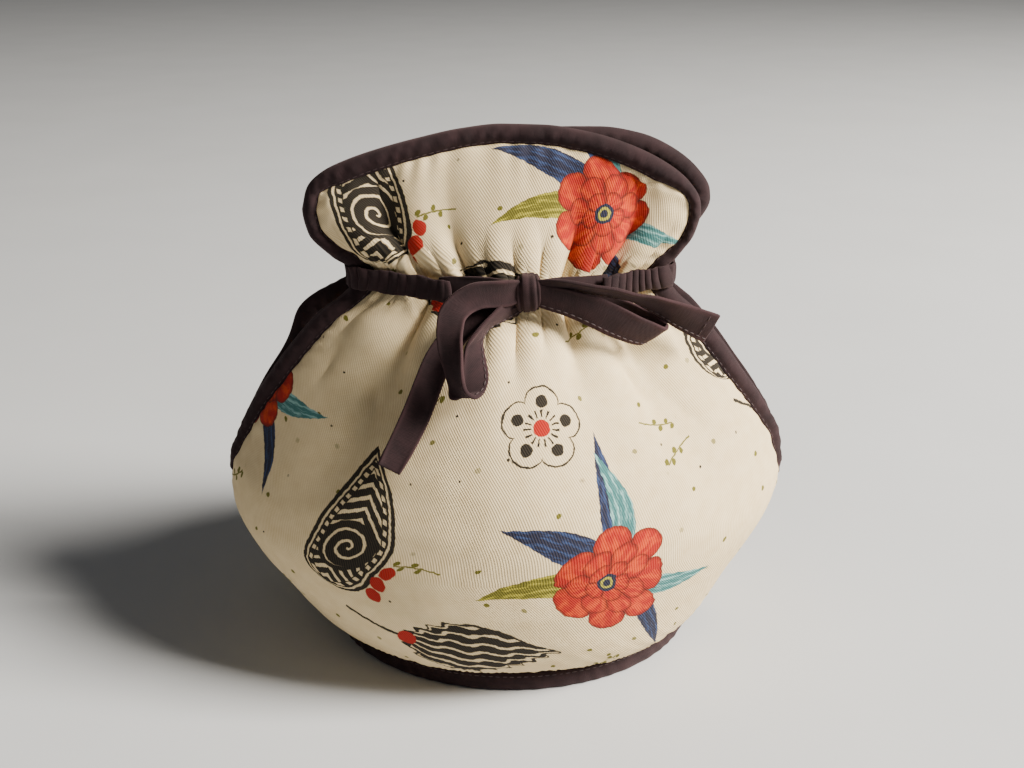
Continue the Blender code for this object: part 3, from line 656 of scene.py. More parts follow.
def panel_places(side):
    """u and height for each place of a panel's grid, and each column's share of the breadth."""
    t = np.linspace(0, 1, PANEL_COLUMNS + 1)
    t = t - CROWDED_AT_SIDES * np.sin(math.tau * t)
    heights = np.linspace(PANEL_FOOT, NECK, BODY_ROWS + 1)
    left, top, right = edges_of(side, heights, COLLAR_ROWS, t)
    around = round_edge(left, top, right)
    inner = stepped_in(side, around, (BINDING_WIDTH - SEAM_LAP) * binding_share(side, around))
    for _ in range(EVENING_ROUNDS):
        inner[1:-1] = (inner[:-2] + 2 * inner[1:-1] + inner[2:]) / 4
    inner = np.where(binding_share(side, around)[:, None] > 0, inner, around)
    rows = len(left)
    left, top, right = inner[:rows], inner[rows - 1 : rows + PANEL_COLUMNS], inner[: -rows - 1 : -1]
    body = BODY_ROWS + 1
    lifted = heights[:, None] + (left[:body, 1] - heights)[:, None] * (1 - t) ** 4
    lifted = lifted + (right[:body, 1] - heights)[:, None] * t**4
    lower = np.stack([mix(left[:body, :1], right[:body, :1], t), lifted], axis=-1)
    neck, share = lower[-1], t[:, None]
    collar = []
    for count in range(1, COLLAR_ROWS + 1):
        v = count / COLLAR_ROWS
        start, end = left[body - 1 + count], right[body - 1 + count]
        corners = mix(mix(neck[0], neck[-1], share), mix(top[0], top[-1], share), v)
        collar.append(mix(start, end, share) + mix(neck, top, v) - corners)
    return np.concatenate([lower, np.array(collar)]), t


def panel(name, side):
    places, t = panel_places(side)
    u, height = places[..., 0], places[..., 1]
    outer = cloth(side, u, height)
    across = lengths_along(outer.swapaxes(0, 1)).T
    up = lengths_along(outer)
    wide = 1 + GATHERED * bell(height - NECK, GATHERED_REACH)
    flat = np.stack([(across - across[:, PANEL_COLUMNS // 2, None]) * wide, up], axis=-1)
    from_side, from_top = np.minimum(across, across[:, -1:] - across), up[-1:] - up
    nearest = np.minimum(from_side, np.minimum(up, from_top))
    rise = np.clip(nearest / SEAM_REACH, 0.0, 1.0)
    thick = mix(SEAM_PAD, PAD, np.sqrt(1 - (1 - rise) ** 2))
    inland, seam = ease(nearest / INLAND), ease(nearest / SEAM_TUCK)
    sunk = (fold_depth(side, t, height) + dent_depth(side, t, height)) * inland
    thick = thick - sunk * (1 - SINK_SHARE)
    thick = thick + soft_waves(outer[..., 0] + 40 * side, height) * inland
    for depth, from_seam, seam_reach, along, step in (
        (PUCKER, from_side, PUCKER_REACH, up + 3 * t, SIDE_PUCKER_STEP),
        (PUCKER, from_top, PUCKER_REACH, across, TOP_PUCKER_STEP),
        (HEM_PUCKER, up, HEM_PUCKER_REACH, across, HEM_PUCKER_STEP),
    ):
        thick = thick + depth * seam * np.exp(-from_seam / seam_reach) * puckers(along, step)
    points = outer - facing(side, u, height) * (PAD + sunk * SINK_SHARE)[..., None]
    if side == BACK:
        points, thick, flat = points[:, ::-1], thick[:, ::-1], flat[:, ::-1] * (-1, 1) + BACK_PATTERN
    piece, row, column = cloth_grid(name, points, flat)
    shares = np.clip(thick, PAD_LEAST, PAD_MOST) / PAD_MOST
    thickened(piece, PAD_MOST, shares[row, column], 1.0, lined=True)
    return piece, flat


panels = {}
for label, side in SIDES.items():
    name = f"padded_panel_{label}"
    panels[side], pattern = panel(name, side)
    size = pattern.max((0, 1)) - pattern.min((0, 1))
    print(f"{name}: pattern {size[0]:.0f} x {size[1]:.0f} mm, {2 * len(panels[side].data.polygons)} faces")

# %% [markdown]
# ## The bindings
# A binding is a strip of plain cotton folded over the raw edge and stitched through. It is a flattened tube:
# round at its folded outer edge, flat on both faces, and drawn in along its seam. The same table as for the
# solid gives its thickness across. Small slanting creases run across it, because a straight strip has been
# eased round a curve.

# %% Binding the edges
BINDING_THICKNESS = 7.4
# Places across the strip, and the share of the thickness there.
BINDING_PROFILE = [(0.0, 0.42), (0.16, 0.86), (0.55, 1.0), (1.0, 0.72)]
BINDING_COLUMNS = 26
BINDING_STEP = 1.3
BINDING_CREASE, BINDING_CREASE_STEP = 0.24, 7.3
FINE_CREASE, FINE_CREASE_STEP = 0.12, 4.1
STITCH_PLACE, STITCH_SINKS = 0.88, 0.66
GROOVE, GROOVE_REACH = 0.45, 0.06
FOOT_THICKNESS = 0.55
SLIT_POINTS, CORNER_POINTS, TOP_POINTS = 90, 40, 160
LEAST_SHARE = 0.02


def capped(bm):
    bmesh.ops.holes_fill(bm, edges=[edge for edge in bm.edges if edge.is_boundary], sides=0)
    bmesh.ops.recalc_face_normals(bm, faces=bm.faces)


def binding(name, side):
    """The binding round a panel's free edge, and the line and facings of its front row of stitches."""
    heights = np.linspace(SLIT_FOOT_RIGHT, NECK, SLIT_POINTS)
    line = round_edge(*edges_of(side, heights, CORNER_POINTS, np.linspace(0, 1, TOP_POINTS)))
    line = line[binding_share(side, line) > LEAST_SHARE]
    marks = lengths_along(cloth(side, *line.T))
    at = np.linspace(0, marks[-1], int(marks[-1] / BINDING_STEP) + 1)
    line = at_marks(line, marks, at)
    inner = stepped_in(side, line, BINDING_WIDTH * binding_share(side, line))

    def at_share(share, lift):
        u, height = (mix(line[:, None, k], inner[:, None, k], share) for k in (0, 1))
        return cloth(side, u, height) + facing(side, u, height) * (lift - PAD / 2)[..., None]

    angle = np.linspace(0.0, math.tau, BINDING_COLUMNS + 1)[None, :]
    share = (1 - np.cos(angle)) / 2
    half = BINDING_THICKNESS / 2 * through(*zip(*BINDING_PROFILE), share)
    full = mix(FOOT_THICKNESS, 1.0, binding_share(side, line)[:, None])
    on_face = np.sin(angle) ** 2
    crease = BINDING_CREASE * puckers(at[:, None] + 5 * share, BINDING_CREASE_STEP) * on_face
    crease = crease + FINE_CREASE * puckers(at[:, None] - 4 * share, FINE_CREASE_STEP) * on_face
    groove = GROOVE * bell(share - STITCH_PLACE, GROOVE_REACH)
    lift = (half * full + crease - groove) * np.sign(np.sin(angle)) * np.abs(np.sin(angle)) ** 0.55
    points = at_share(share, lift)
    around = lengths_along(points.swapaxes(0, 1)).T
    flat = np.stack([around, np.broadcast_to(at[:, None], around.shape)], axis=-1)
    piece, _, _ = cloth_grid(name, points, flat, weld=True)
    worked(piece.data, capped)
    place = np.full((len(at), 1), STITCH_PLACE)
    top = BINDING_THICKNESS / 2 * through(*zip(*BINDING_PROFILE), place) * STITCH_SINKS
    seam = at_share(place, top * full)[:, 0]
    return piece, seam, facing(side, *mix(line, inner, STITCH_PLACE).T)


bindings = {}
for label, side in SIDES.items():
    name = f"edge_binding_{label}"
    bindings[side] = binding(name, side)
    print(f"{name}: {lengths_along(bindings[side][1])[-1]:.0f} mm along its stitches")

# %% [markdown]
# ## The bound hem
# The hem is bound in the same cloth. It stands on the table, so its underside is pressed flat. The ring is
# one grid, welded in both directions: its columns go round the strip's section and its rows round the oval.

# %% The hem
BASE_HALF_WIDTH, BASE_HALF_DEPTH = 80.0, 70.0
HEM_HEIGHT, HEM_WIDTH = 8.8, 7.4
HEM_ROWS, HEM_COLUMNS = 380, 28
HEM_CREASE, HEM_CREASES = 0.22, 58
HEM_GROOVE, HEM_GROOVE_SHARE, HEM_GROOVE_REACH = 0.4, 0.30, 0.5

turn = np.linspace(0.0, math.tau, HEM_ROWS + 1)[:, None]
angle = np.linspace(0.0, math.tau, HEM_COLUMNS + 1)[None, :]
square = (np.abs(np.cos(angle)) ** 4 + np.abs(np.sin(angle)) ** 4) ** (-1 / 4)
outward = HEM_WIDTH / 2 * np.cos(angle) * square
upward = HEM_HEIGHT / 2 * np.sin(angle) * square
oval = np.concatenate([BASE_HALF_WIDTH * np.cos(turn), BASE_HALF_DEPTH * np.sin(turn)], axis=-1)
normal = unit(np.concatenate([np.cos(turn) / BASE_HALF_WIDTH, np.sin(turn) / BASE_HALF_DEPTH], axis=-1))
round_hem = lengths_along(oval)[:, None]
outside = np.maximum(np.cos(angle), 0)
crease = HEM_CREASE * puckers(round_hem + 2 * np.sin(angle), round_hem[-1, 0] / HEM_CREASES) * outside
crease = crease - HEM_GROOVE * bell(upward - HEM_GROOVE_SHARE * HEM_HEIGHT, HEM_GROOVE_REACH) * outside
reach = outward + crease - HEM_WIDTH / 2
height = np.broadcast_to(np.maximum(HEM_HEIGHT / 2 + upward, 0.0), reach.shape)
round_oval = [oval[:, k, None] + normal[:, k, None] * reach for k in (0, 1)]
hem_points = np.stack([*round_oval, height], axis=-1)
round_strip = lengths_along(hem_points.swapaxes(0, 1)).T
hem_flat = np.stack(np.broadcast_arrays(round_strip, round_hem), axis=-1)
hem, _, _ = cloth_grid("hem_binding_cloth", hem_points, hem_flat, weld=True)
print(f"hem: {round_hem[-1, 0]:.0f} mm round")

# %% [markdown]
# ## The gathered casing
# The tie runs through a casing sewn round the neck. Pulling the tie gathers the casing into fine upright
# ruffles, rounded on top with a sharp valley between, as gathered cloth always is. A sine's size, without its
# sign, has that shape. The casing is a strip round the neck, from its mouth at the front left, round the
# back, to its mouth at the front right. The tie has been pulled tighter at the right, so the ruffles are
# flatter at the left.

# %% The casing
CASING_HEIGHT, CASING_THICKNESS = 8.8, 1.8
CASING_MOUTH_LEFT, CASING_MOUTH_RIGHT = -0.34, 0.54
CASING_RISE, CASING_LIFT, CASING_FLARE, CASING_CROWN = 0.4, 1.0, 0.55, 1.0
CASING_MOUTH_LIFT, CASING_MOUTH_REACH, CASING_MOUTH_NARROWING = 3.2, 16.0, 0.4
CASING_LEFT_LIFT, CASING_RIGHT_LIFT, CASING_SIDE_REACH = -0.6, 0.5, 13.0
CASING_STEP, CASING_ROWS = 0.40, 14
CASING_FULLNESS = 1.6
EVENED_OVER, FACING_OVER = 4, 5
RUFFLE, RUFFLE_STEP, MOUTH_RUFFLES = 1.1, 3.9, 0.7
LEFT_RUFFLES, LEFT_RUFFLES_END, LEFT_RUFFLES_RAMP = 0.30, 10, 18
EDGE_WAVE = 0.28
EDGE_SHARE, MOUTH_SHARE, MOUTH_SHARE_REACH = 0.6, 0.5, 4.0


def round_neck(height):
    """The line round the outside of the neck from the left mouth, round the back, to the right one."""
    parts = [
        cloth(FRONT, np.linspace(CASING_MOUTH_LEFT, -1, 40), height),
        cloth(BACK, np.linspace(-1, 1, 120), height),
        cloth(FRONT, np.linspace(1, CASING_MOUTH_RIGHT, 46), height),
    ]
    return np.concatenate(parts)[:, :2]


def ruffles(at, v):
    """Rounded crests of uneven breadth, which lean a little over the height of the strip."""
    lean = 0.9 * v * np.sin(at / 13) + 0.5 * np.sin(at / 5.7 + 0.6 * v)
    place = (at + lean) / RUFFLE_STEP + 0.45 * np.sin(at / 7.9) + 0.3 * np.sin(at / 4.3 + 1.0)
    crest = np.abs(np.sin(math.pi * place)) ** 0.7
    return crest * (0.75 + 0.35 * np.sin(at / 6.1) * np.sin(at / 17 + 0.5))


def casing_row(v, along):
    """One row of the strip. `along` is the length along its middle row, so that the ruffles stand upright."""
    line = round_neck(NECK + v * CASING_HEIGHT / 2 * CASING_FLARE)
    marks = lengths_along(line)
    at = along * marks[-1] / along[-1]

    def on_line(shift):
        return at_marks(line, marks, at + shift)

    middle = (on_line(-EVENED_OVER) + 2 * on_line(0) + on_line(EVENED_OVER)) / 4
    middle[[0, -1]] = on_line(0)[[0, -1]]
    ahead = on_line(FACING_OVER) - on_line(-FACING_OVER)
    outward = unit(np.stack([-ahead[:, 1], ahead[:, 0]], axis=-1))
    mouth = ease(np.minimum(along, along[-1] - along) / CASING_MOUTH_REACH)
    lift = CASING_THICKNESS / 2 + mix(CASING_MOUTH_LIFT, CASING_LIFT, mouth)
    side_lift = np.where(middle[:, 0] < 0, CASING_LEFT_LIFT, CASING_RIGHT_LIFT)
    lift = lift + side_lift * bell(middle[:, 1], CASING_SIDE_REACH)
    smoother = mix(LEFT_RUFFLES, 1.0, ease((along - LEFT_RUFFLES_END) / LEFT_RUFFLES_RAMP))
    lift = lift + RUFFLE * smoother * ruffles(along, v) * mix(MOUTH_RUFFLES, 1.0, mouth)
    lift = lift + CASING_CROWN * (1 - v * v)
    edge_wave = EDGE_WAVE * v * v * np.sign(v) * np.sin(along / 1.9 + 1.2 * np.sin(along / 8))
    z = NECK + CASING_RISE + v * (CASING_HEIGHT / 2 - CASING_MOUTH_NARROWING * (1 - mouth)) + edge_wave
    points = np.concatenate([middle + outward * lift[:, None], z[:, None]], axis=-1)
    return points, np.stack([along * CASING_FULLNESS, 0 * along + v * CASING_HEIGHT / 2], axis=-1)


neck_length = lengths_along(round_neck(NECK))[-1]
along = np.linspace(0, neck_length, int(neck_length / CASING_STEP) + 1)
rows = [casing_row(v, along) for v in np.linspace(-1, 1, CASING_ROWS + 1)]
casing, row, column = cloth_grid("gathered_casing", *(np.array(part) for part in zip(*rows)))
from_mouth = np.minimum(along, neck_length - along)[column]
thin = mix(1.0, EDGE_SHARE, np.abs(row / CASING_ROWS * 2 - 1) ** 3)
thickened(casing, CASING_THICKNESS, thin * mix(MOUTH_SHARE, 1.0, ease(from_mouth / MOUTH_SHARE_REACH)), 0.0)
print(f"casing: {neck_length:.0f} mm round, about {neck_length / RUFFLE_STEP:.0f} ruffles")

# %% [markdown]
# ## Stitches
# A row of machine stitches holds every folded strip. Each stitch is a short rounded piece of thread that
# sinks at both ends into the cloth, so a flattened sphere with few faces is enough. `stitch_row` lays them
# one after another along a line, turned to the cloth's own facing.

# %% Stitches
STITCH_LENGTH, STITCH_GAP, THREAD_WIDTH, THREAD_HEIGHT = 2.2, 0.7, 0.46, 0.40
HEM_STITCH_SHARE, HEM_STITCH_DEPTH = 0.80, 0.25
TAPE_STITCH_COLUMN, TAPE_STITCH_LIFT, END_STITCH_MARGIN = 2, 0.40, 1.2
STITCH_SPHERE = {"u_segments": 8, "v_segments": 6, "radius": 1.0}
STITCHING = {}

one_stitch = bpy.data.meshes.new("one_stitch")
worked(one_stitch, lambda bm: bmesh.ops.create_uvsphere(bm, **STITCH_SPHERE))


def stitch_row(name, slot, line, facings):
    """Sews a row of stitches along a line in millimetres, as one object."""
    marks = lengths_along(line)
    count = int(marks[-1] / (STITCH_LENGTH + STITCH_GAP))
    bm = bmesh.new()
    for s in (np.arange(count) + 0.5) * marks[-1] / count:
        start, centre, end = (at_marks(line, marks, s + step * STITCH_LENGTH) for step in (-0.5, 0, 0.5))
        ahead, out = unit(end - start), at_marks(facings, marks, s)
        out = unit(out - ahead * (out @ ahead))
        centre = (centre + (HEM_CENTRE_X, 0.0, 0.0)) * MM
        axes = [ahead * STITCH_LENGTH / 2, np.cross(out, ahead) * THREAD_WIDTH / 2, out * THREAD_HEIGHT / 2]
        stitch = one_stitch.copy()
        place = [[*row, c] for row, c in zip((np.array(axes) * MM).T, centre)] + [[0, 0, 0, 1]]
        stitch.transform(Matrix(place))
        bm.from_mesh(stitch)
        bpy.data.meshes.remove(stitch)
    mesh = bpy.data.meshes.new(name)
    bm.to_mesh(mesh)
    bm.free()
    mesh.shade_smooth()
    placed(name, mesh)
    STITCHING[name] = slot
    print(f"{name}: {count} stitches")


for label, side in SIDES.items():
    stitch_row(f"edge_stitches_{label}", "plum_binding", *bindings[side][1:])

hem_stitch_height = np.full((len(oval), 1), HEM_HEIGHT * HEM_STITCH_SHARE)
hem_line = np.concatenate([oval + normal * -HEM_STITCH_DEPTH, hem_stitch_height], axis=-1)
stitch_row("hem_stitches", "plum_binding", hem_line, np.concatenate([normal, 0 * hem_stitch_height], axis=-1))

for name, (_, points, facing_out, s) in tapes.items():
    row_name = name.replace("tie_", "tie_stitches_")
    lift = TAPE_THICKNESS * TAPE_STITCH_LIFT
    stitch_row(row_name, "plum_tie", points[:, TAPE_STITCH_COLUMN] + facing_out * lift, facing_out)
    if "end" in name:
        across_end = points[np.searchsorted(s, s[-1] - END_HEM + END_STITCH_MARGIN), TAPE_STITCH_COLUMN:-1]
        end_facing = np.broadcast_to(facing_out[-1], across_end.shape)
        stitch_row(row_name + "_hem", "plum_tie", across_end + end_facing * lift, end_facing)

# %% [markdown]
# ## Shader maths as plain sums
# A finish is a material whose colour and surface change with the place on the cloth. Building one node at a
# time is hard to read, so a small class wraps a node's output and takes part in sums like a number: each sum
# adds one Math node. `Finish.node` adds any other node.

# %% Values and finishes
def adds(operation):
    """A method that adds a Math node."""
    return lambda value, *others: value.maths(operation, *others)


class Value:
    """A node's output that takes part in sums."""

    def __init__(self, finish, socket):
        self.finish, self.socket = finish, socket

    def maths(self, operation, *others, clamp=False):
        return self.finish.node("ShaderNodeMath", [self, *others], operation=operation, use_clamp=clamp)

    def output(self, index):
        """Another output of the same node."""
        return Value(self.finish, self.socket.node.outputs[index])

    def clamped(self, factor=1.0, shift=0.0):
        """The value times a factor, shifted, and kept from 0 to 1."""
        return self.maths("MULTIPLY_ADD", factor, shift, clamp=True)

    def length_with(self, other):
        return (self * self + other * other).maths("SQRT")

    def __rsub__(self, other):
        return self.finish.node("ShaderNodeMath", [other, self], operation="SUBTRACT")

    __add__ = __radd__ = adds("ADD")
    __mul__ = __rmul__ = adds("MULTIPLY")
    __sub__, __truediv__, __abs__ = adds("SUBTRACT"), adds("DIVIDE"), adds("ABSOLUTE")
    least, power, whole, cosine = adds("MINIMUM"), adds("POWER"), adds("FLOOR"), adds("COSINE")


class Finish:
    """A material with the constants of its shader, and one method that adds any node."""

    def __init__(self, name, **constants):
        self.material = bpy.data.materials.new(name)
        self.material.use_nodes = True
        self.tree = self.material.node_tree
        self.shader = self.tree.nodes["Principled BSDF"]
        self.feed(self.shader, {socket.replace("_", " "): value for socket, value in constants.items()})

    def node(self, kind, inputs=(), output=0, **settings):
        node = self.tree.nodes.new(kind)
        for setting, value in settings.items():
            setattr(node, setting, value)
        self.feed(node, inputs)
        return Value(self, node.outputs[output])

    def feed(self, node, inputs):
        for key, value in inputs.items() if isinstance(inputs, dict) else enumerate(inputs):
            if isinstance(value, Value):
                self.tree.links.new(value.socket, node.inputs[key])
            else:
                node.inputs[key].default_value = value

    def colour(self, share, under, over):
        """One colour laid over another."""
        return self.node("ShaderNodeMix", {0: share, 6: under, 7: over}, output=2, data_type="RGBA")

    def flat_place(self):
        """The two coordinates of the flat cloth, in millimetres."""
        place = self.node("ShaderNodeUVMap", uv_map="flat_cloth")
        across = self.node("ShaderNodeSeparateXYZ", [place])
        return across / MM, across.output(1) / MM

    def noise(self, x, y, scale, detail=2.0):
        inputs = {"Vector": self.node("ShaderNodeCombineXYZ", [x, y, 0.0]), "Scale": scale, "Detail": detail}
        return self.node("ShaderNodeTexNoise", inputs, noise_dimensions="2D")

    def coloured(self, colour):
        self.feed(self.shader, {"Base Color": colour})

    def raised(self, height, depth):
        """Turns a height from 0 to 1 into bumps this many millimetres deep."""
        bump = self.node("ShaderNodeBump", {"Height": height, "Distance": depth * MM, "Strength": 1.0})
        self.feed(self.shader, {"Normal": bump})


def rgb(red, green, blue):
    return (red, green, blue, 1.0)


def mottled(name, scale, detail, dark, light, **constants):
    """A finish whose colour wanders between two shades, and the noise that it follows."""
    finish = Finish(name, **constants)
    spot = finish.node("ShaderNodeTexCoord", output=3)
    mottle = finish.node("ShaderNodeTexNoise", {"Vector": spot, "Scale": scale, "Detail": detail})
    finish.coloured(finish.colour(mottle, dark, light))
    return finish, mottle


print("a sum of two values adds one Math node")

# %% [markdown]
# ## Plum cotton
# The bindings, casing and tie are a plain-woven cotton of one dark plum colour. Close up it is a grid of
# threads, over and under each other, which is one cosine wave across times one along. Fluff on the surface
# catches the light at a slant, so the shader gets some sheen. The colour is a little paler on the raised
# threads and where a broad noise is high, and a tape is paler along its rubbed, pressed edges.

# %% Plum cloth
THREAD_STEP = 0.62
WEAVE_DEPTH, THREAD_DEPTH = 0.16, 0.08
PLUM_DEEP, PLUM_WORN = rgb(0.008, 0.0035, 0.0045), rgb(0.034, 0.0145, 0.0165)
PLUM_SHEEN = rgb(0.85, 0.55, 0.56)
COTTON = {"Roughness": 0.92, "Sheen_Weight": 0.09, "Sheen_Roughness": 0.50, "Sheen_Tint": PLUM_SHEEN}
THREAD = {"Roughness": 0.6, "Sheen_Weight": 0.1, "Sheen_Tint": PLUM_SHEEN}
THREAD_DARK, THREAD_LIGHT = rgb(0.016, 0.008, 0.009), rgb(0.045, 0.022, 0.025)
TAPE_PRESSED_EDGE = 3.9


def plum_cloth(name, pressed_edge=None):
    """Plain-woven plum cotton. A tape's pressed edges lie this far from its middle."""
    finish = Finish(name, Specular_IOR_Level=0.25, **COTTON)
    across, along = finish.flat_place()
    turn = math.tau / THREAD_STEP
    weave = (across * turn).cosine() * (along * turn).cosine() * 0.5 + 0.5
    rubbed = finish.noise(across, along, 0.11, 4.0)
    slub = finish.noise(across * 0.25, along * 2.2, 0.9)
    share = (rubbed * 0.9 + weave * 0.22 + slub * 0.35 - 0.42).clamped()
    if pressed_edge:
        worn = (abs(across) - pressed_edge).clamped(0.9)
        share = (share + worn * rubbed * 0.8).clamped()
    finish.coloured(finish.colour(share, PLUM_DEEP, PLUM_WORN))
    finish.raised(weave * 0.55 + slub * 0.45 + rubbed * 0.9, WEAVE_DEPTH)
    return finish


plum_binding = plum_cloth("plum_cotton_binding")
plum_tape = plum_cloth("plum_cotton_tape", pressed_edge=TAPE_PRESSED_EDGE)
thread_finish, ply = mottled("plum_thread", 2600.0, 1.0, THREAD_DARK, THREAD_LIGHT, **THREAD)
thread_finish.raised(ply, THREAD_DEPTH)
print("plum finishes:", plum_binding.material.name, plum_tape.material.name, thread_finish.material.name)

# %% [markdown]
# ## Cream twill
# The panels are cotton twill, whose weft passes over two threads and under one, each time a thread further
# on. That gives fine slanting ribs, a little under a millimetre apart. The rib is a cosine wave across the
# slant, and a second, shorter wave along it breaks it into threads. The grooves are painted darker than the
# ribs, as painted shade in the recesses, and a little noise varies the tone.

# %% Twill
RIB_STEP, RIB_SLANT, RIB_DEPTH = 0.92, 28.0, 0.12
THREAD_LENGTH = 0.7
# The second colour is painted shade: the cream darkened for the grooves between the ribs.
CREAM_RIB, CREAM_GROOVE_PAINTED_SHADE = rgb(0.835, 0.682, 0.420), rgb(0.585, 0.420, 0.205)


def twill(name):
    """A twill finish, the place in its flat cloth, the height of its ribs and its cream colour, with painted
    shade in the grooves.
    """
    finish = Finish(name, Roughness=0.92, Sheen_Weight=0.03, Specular_IOR_Level=0.20)
    across, along = finish.flat_place()
    uneven = finish.noise(across, along, 0.16, 3.0)
    square_to_rib, down_the_rib = turned(across, along, RIB_SLANT)
    rib = (square_to_rib * (math.tau / RIB_STEP) + uneven * 0.9).cosine()
    threads = (down_the_rib * (math.tau / THREAD_LENGTH) + square_to_rib * 3.1).cosine()
    height = rib * 0.38 + threads * 0.12 + 0.5
    # Painted shade: the colour darkens towards the grooves with the rib height, and a little noise varies the
    # tone.
    share = (height * 0.75 + uneven * 0.5 - 0.06).clamped()
    finish.raised(height, RIB_DEPTH)
    return finish, across, along, height, finish.colour(share, CREAM_GROOVE_PAINTED_SHADE, CREAM_RIB)


plain_twill, *_, cream = twill("cream_twill_inside")
plain_twill.coloured(cream)
print("ribs per centimetre:", 10 / RIB_STEP)

# %% [markdown]
# ## Printed motifs
# The front cloth is printed with large bright motifs, black ones with fine cream lines, and small olive
# sprigs. A print repeats over the cloth like a tile, and each second column is dropped by half a tile so that
# the repeat doesn't show. `repeated` gives a place measured from the nearest copy of a motif. A motif is a
# list of layers, each a sum that is above zero inside its outline and the ink there, and `inked` prints them
# in turn.

# %% Repeats and outlines
REPEAT_WIDTH, REPEAT_HEIGHT = 176.0, 152.0
INK_EDGE = 0.30


def repeated(u, v, across, up, degrees):
    """Place measured from the nearest copy of a motif, in a half-drop repeat, and turned with the motif."""
    from_motif = u - across
    column = (from_motif / REPEAT_WIDTH + 0.5).whole()
    drop = v - up - column * (REPEAT_HEIGHT / 2)
    row = (drop / REPEAT_HEIGHT + 0.5).whole()
    return turned(from_motif - column * REPEAT_WIDTH, drop - row * REPEAT_HEIGHT, degrees)


def inked(finish, colour, layers):
    """Prints layers on a colour. Each is a value above zero inside its outline, and the ink there."""
    for inside, ink in layers:
        colour = finish.colour(inside.clamped(1 / INK_EDGE, 0.5), colour, ink)
    return colour


def line_at(value, place, half_width):
    """Above zero on a line where the value passes a place."""
    return half_width - abs(value - place)


def leaf(x, y, length, width, bend):
    """Depth inside a pointed leaf along x, with its share of the length and the distance from its rib."""
    t = (x / length).least(1.2)
    side = y - t * t * bend
    return t * (1 - t) * (1.7 - t) * (width * 1.6) - abs(side), t, side


def polar(x, y):
    return x.length_with(y), y.maths("ARCTAN2", x)


print(f"the print repeats every {REPEAT_WIDTH:.0f} x {REPEAT_HEIGHT:.0f} mm")

# %% [markdown]
# The largest motif is a full scarlet bloom with a spray of long leaves in navy, teal and olive. The bloom has
# three rings of petals. In polar coordinates a ring of petals is a circle whose radius swells with the cosine
# of the angle. Brush strokes are noise that is stretched along each petal or leaf.

# %% The bloom and its leaves
SCARLET, ORANGE, DEEP_RED = rgb(0.340, 0.004, 0.003), rgb(0.540, 0.040, 0.004), rgb(0.080, 0.003, 0.003)
NAVY, INDIGO = rgb(0.006, 0.010, 0.034), rgb(0.020, 0.044, 0.125)
TEAL, PALE_TEAL = rgb(0.035, 0.150, 0.150), rgb(0.220, 0.430, 0.400)
OLIVE, PALE_OLIVE = rgb(0.120, 0.110, 0.010), rgb(0.340, 0.300, 0.030)
BLACK = rgb(0.006, 0.005, 0.005)

Leaf = namedtuple("Leaf", "x y turn length width bend dark light")
SPRAY = [
    Leaf(4, 6, 118, 56, 11, -14, NAVY, INDIGO),
    Leaf(0, 4, 142, 52, 13, 12, NAVY, INDIGO),
    Leaf(2, 8, 92, 46, 10, 12, TEAL, PALE_TEAL),
    Leaf(-2, 0, 168, 48, 11, 14, OLIVE, PALE_OLIVE),
    Leaf(6, -4, -58, 44, 9, -12, NAVY, INDIGO),
    Leaf(4, -2, -20, 42, 10, 12, TEAL, PALE_TEAL),
]
Ring = namedtuple("Ring", "radius petals phase")
RINGS = [Ring(24.0, 3.5, 0.0), Ring(16.5, 3.5, math.pi / 2), Ring(9.5, 2.5, 0.4)]


def bloom(finish, u, v):
    x, y = repeated(u, v, 46, 58, 0)
    layers = []
    for part in SPRAY:
        down, across = turned(x - part.x, y - part.y, part.turn)
        depth, _, side = leaf(down, across, part.length, part.width, part.bend)
        strokes = finish.noise(down * 0.16, side, 0.75, 3.0).clamped(5.0, -2.3)
        layers.append((depth, finish.colour(strokes, part.dark, part.light)))
        layers.append((line_at(side, 0.0, 0.32).least(depth - 0.6), part.dark))
    radius, angle = polar(x, y)
    strokes = finish.noise(angle * 5.0, radius * 0.14, 1.0, 3.0).clamped(4.5, -1.9)
    warm = finish.colour(strokes, SCARLET, ORANGE)
    for ring in RINGS:
        swell = abs((angle * ring.petals + ring.phase).cosine()).power(0.55)
        depth = (swell * 0.27 + 0.73) * ring.radius - radius
        shade = (swell * 1.7 - 0.15).least(depth * 0.55 + 0.1).clamped()
        layers.append((depth, finish.colour(shade, DEEP_RED, warm)))
    return layers + [(4.0 - radius, NAVY), (line_at(radius, 2.1, 0.5), PALE_OLIVE)]


print("the bloom has", len(RINGS), "rings of petals and", len(SPRAY), "leaves")

# %% [markdown]
# Two motifs are printed in black only: a paisley with a spiral, a border line and a row of dots left cream
# inside it, and a plumed seed head with wavy cream lines. A third is a cream flower drawn with a black
# outline. Each has a touch of scarlet.

# %% Black motifs
BLACK_MOTIF_SCALE = 1.22


def paisley(cream, u, v):
    x, y = (place / BLACK_MOTIF_SCALE for place in repeated(u, v, -60, 72, 62))
    t = ((x + 16.0) / 54.0).least(1.2)
    side = y - t * t * 15.0
    depth = t.maths("SQRT") * (1 - t) * 43.0 - abs(side) - 0.4
    radius, angle = polar(x - 1.5, y - 1.8)
    winding = (radius / 4.4 - angle / math.tau).maths("FRACT")
    spiral = ((0.11 - abs(winding - 0.5)) * 4.4).least(8.6 - radius)
    beads = ((x * 1.9).cosine() - 0.1).least(line_at(depth, 4.3, 0.75)).least(radius - 9.4)
    veins = ((abs(side) * 1.1 + x * 1.5).cosine() - 0.45).least(depth - 5.6).least(radius - 10.4)
    berries = [2.7 - (x - place).length_with(y + 17.2 + place * 0.12) for place in (-9.0, -3.5, 2.0)]
    left_cream = [(inside, cream) for inside in (spiral, line_at(depth, 2.2, 0.42), beads, veins)]
    return [(depth, BLACK)] + left_cream + [(berry, SCARLET) for berry in berries]


